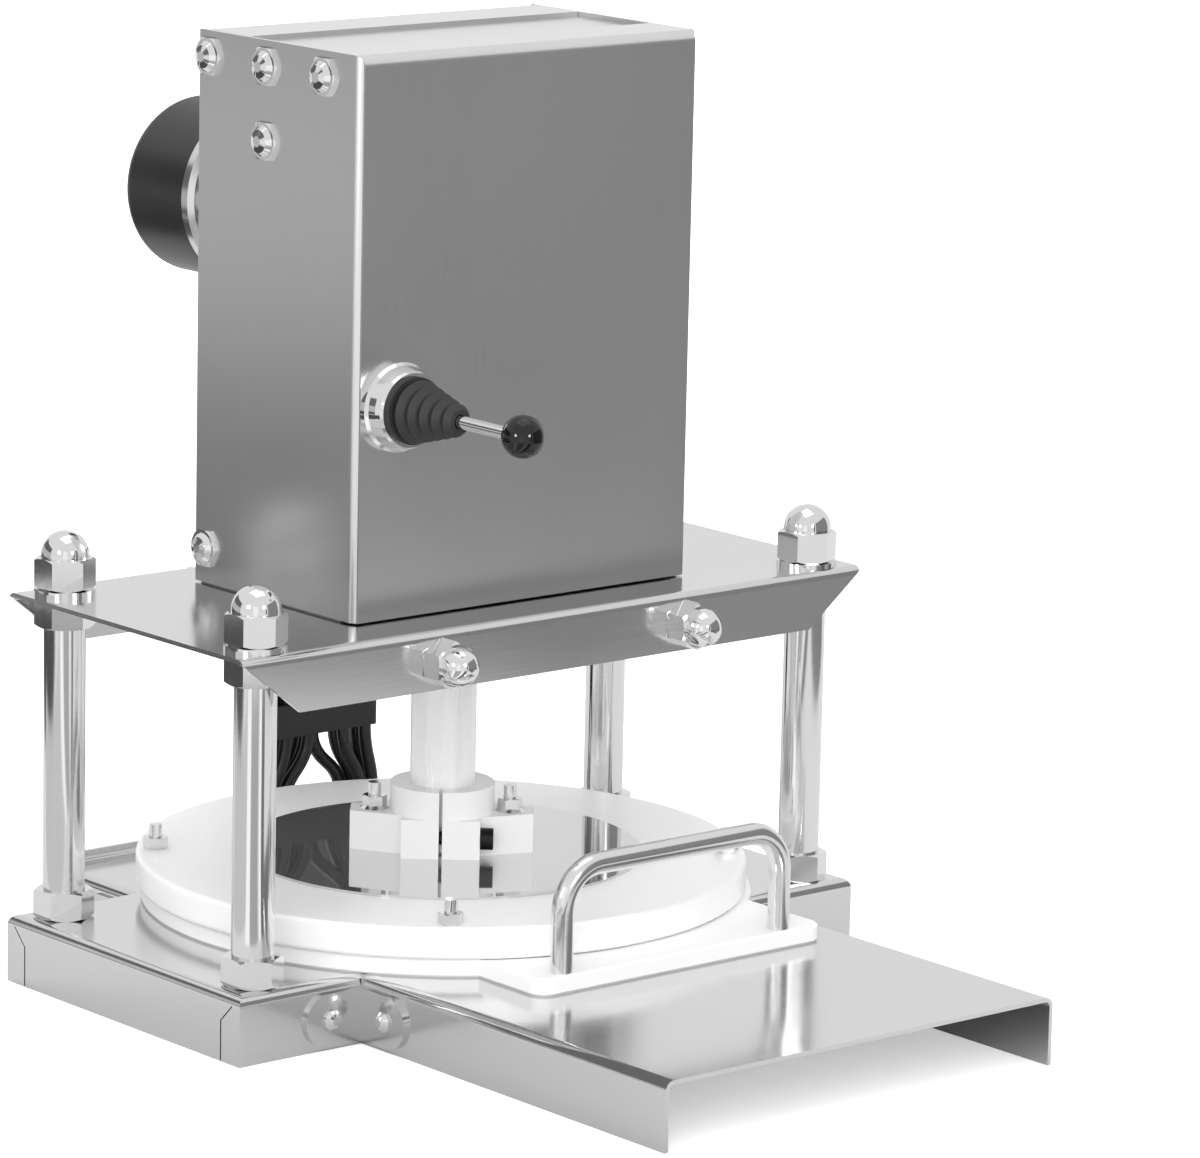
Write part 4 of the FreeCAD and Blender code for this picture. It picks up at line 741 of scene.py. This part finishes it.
def reflected_only(name, plan, tone):
    """A glowing sheet that nothing but a reflection shows."""
    mesh = bpy.data.meshes.new(name)
    plan.to_mesh(mesh)
    plan.free()
    board = bpy.data.objects.new(name, mesh)
    bpy.context.scene.collection.objects.link(board)
    finish = bpy.data.materials.new(name)
    finish.use_nodes = True
    tree = finish.node_tree
    tree.nodes.remove(tree.nodes["Principled BSDF"])
    glow = tree.nodes.new("ShaderNodeEmission")
    glow.inputs["Color"].default_value = (tone, tone, tone, 1)
    tree.links.new(glow.outputs["Emission"], tree.nodes["Material Output"].inputs["Surface"])
    mesh.materials.append(finish)
    board.visible_camera = False
    board.visible_diffuse = False
    board.visible_shadow = False
    board.visible_transmission = False
    put_up.append(name)


def grey_board(name, centre, width, height, turn, tone, tilt=90):
    """A board that is tipped up by the tilt, then turned about the upright axis."""
    plan = bmesh.new()
    bmesh.ops.create_grid(plan, x_segments=1, y_segments=1, size=0.5)
    bmesh.ops.scale(plan, vec=(width, height, 1), verts=plan.verts)
    for angle, axis in ((tilt, "X"), (turn, "Z")):
        matrix = Matrix.Rotation(math.radians(angle), 3, axis)
        bmesh.ops.rotate(plan, cent=(0, 0, 0), matrix=matrix, verts=plan.verts)
    bmesh.ops.translate(plan, vec=centre, verts=plan.verts)
    reflected_only(name, plan, tone)


def floor_fan(name, first, last, near, far, tone):
    """A low level wedge before the front left column, between two bearings from the camera's side."""
    plan = bmesh.new()
    corners = []
    for bearing, reach in ((first, near), (first, far), (last, far), (last, near)):
        angle = math.radians(fan_start + bearing)
        across = fan_middle[0] + reach * math.cos(angle)
        back = fan_middle[1] + reach * math.sin(angle)
        corners.append(plan.verts.new((across, back, fan_level)))
    plan.faces.new(corners)
    reflected_only(name, plan, tone)


# %% [markdown]
# ## Where the boards stand
# The front of the housing looks at the board to the front right, and its side at the one
# to the back left, so these two are large and turned to face the press. The cards lie flat
# before them and darken what the steel shows of the floor. The small boards each serve one
# spot, such as a stripe in the mirror plate, a band on the channel, a bright patch on the
# top plate and the two white glints in the joystick's ball.

# %% Boards
front_right = (0.62, -0.66)
back_left = (-0.68, 0.86)
facing = 41
flat = 0
grey_board("front_right_board", (*front_right, 0.39), 1.2, 0.62, facing, 0.27)
grey_board("front_right_foot", (*front_right, 0.04), 1.2, 0.08, facing, 0.12)
grey_board("front_right_card", (0.495, -0.57, 0.004), 1.0, 0.30, facing, 0.275, flat)
grey_board("flange_board", (0.682, -0.592, 0.018), 0.26, 0.036, facing, 0.42)
grey_board("back_left_board", (*back_left, 0.235), 1.3, 0.25, facing, 0.56)
grey_board("back_left_top", (*back_left, 0.53), 1.3, 0.34, facing, 0.15)
grey_board("back_left_foot", (*back_left, 0.055), 1.3, 0.11, facing, 0.08)
grey_board("back_left_card", (-0.50, 0.66, 0.004), 1.3, 0.40, facing, 0.08, flat)
grey_board("bright_board", (-0.72, -0.68, 0.30), 0.35, 0.6, -45, 1.1)
grey_board("mirror_board", (0.392, 0.665, 0.245), 0.082, 0.10, 0, 0.06)
grey_board("channel_board", (0.585, 0.665, 0.330), 0.11, 0.07, 0, 0.20)
grey_board("top_board", (0.85, 1.065, 0.72), 0.60, 0.12, 0, 1.2)
grey_board("overhead_board", (0.0, 0.0, 1.5), 1.0, 1.0, 0, 1.5, flat)
grey_board("dark_strip", (0.02, -1.15, 0.35), 0.10, 0.7, 5, 0.04)
grey_board("left_glint_board", (-1.00, -0.25, 0.52), 0.20, 0.20, -76, 16.0)
grey_board("right_glint_board", (-0.14, -1.02, 0.52), 0.20, 0.20, -4, 16.0)
print("boards", len(put_up))

# %% [markdown]
# ## Where the fans lie
# Seen from the column, each fan fills the floor between two bearings, and gives the stripe
# of the column that looks that way. Two are bright and the others grey. All of them are a
# little above the floor, out of the sight of the flanges of the base.

# %% Fans
floor_fan("left_fan", -120, -34, 0.12, 0.62, 0.68)
floor_fan("left_bright_fan", -34, -15, 0.08, 0.62, 1.2)
floor_fan("middle_fan", -15, 22, 0.08, 0.62, 0.46)
floor_fan("right_bright_fan", 28, 38, 0.08, 0.62, 1.2)
floor_fan("right_dark_fan", 38, 54, 0.08, 0.62, 0.18)
print("boards and fans", len(put_up))

# %% [markdown]
# ## The last update
# The placements in the scene are brought up to date once more.

# %% Update
bpy.context.view_layer.update()
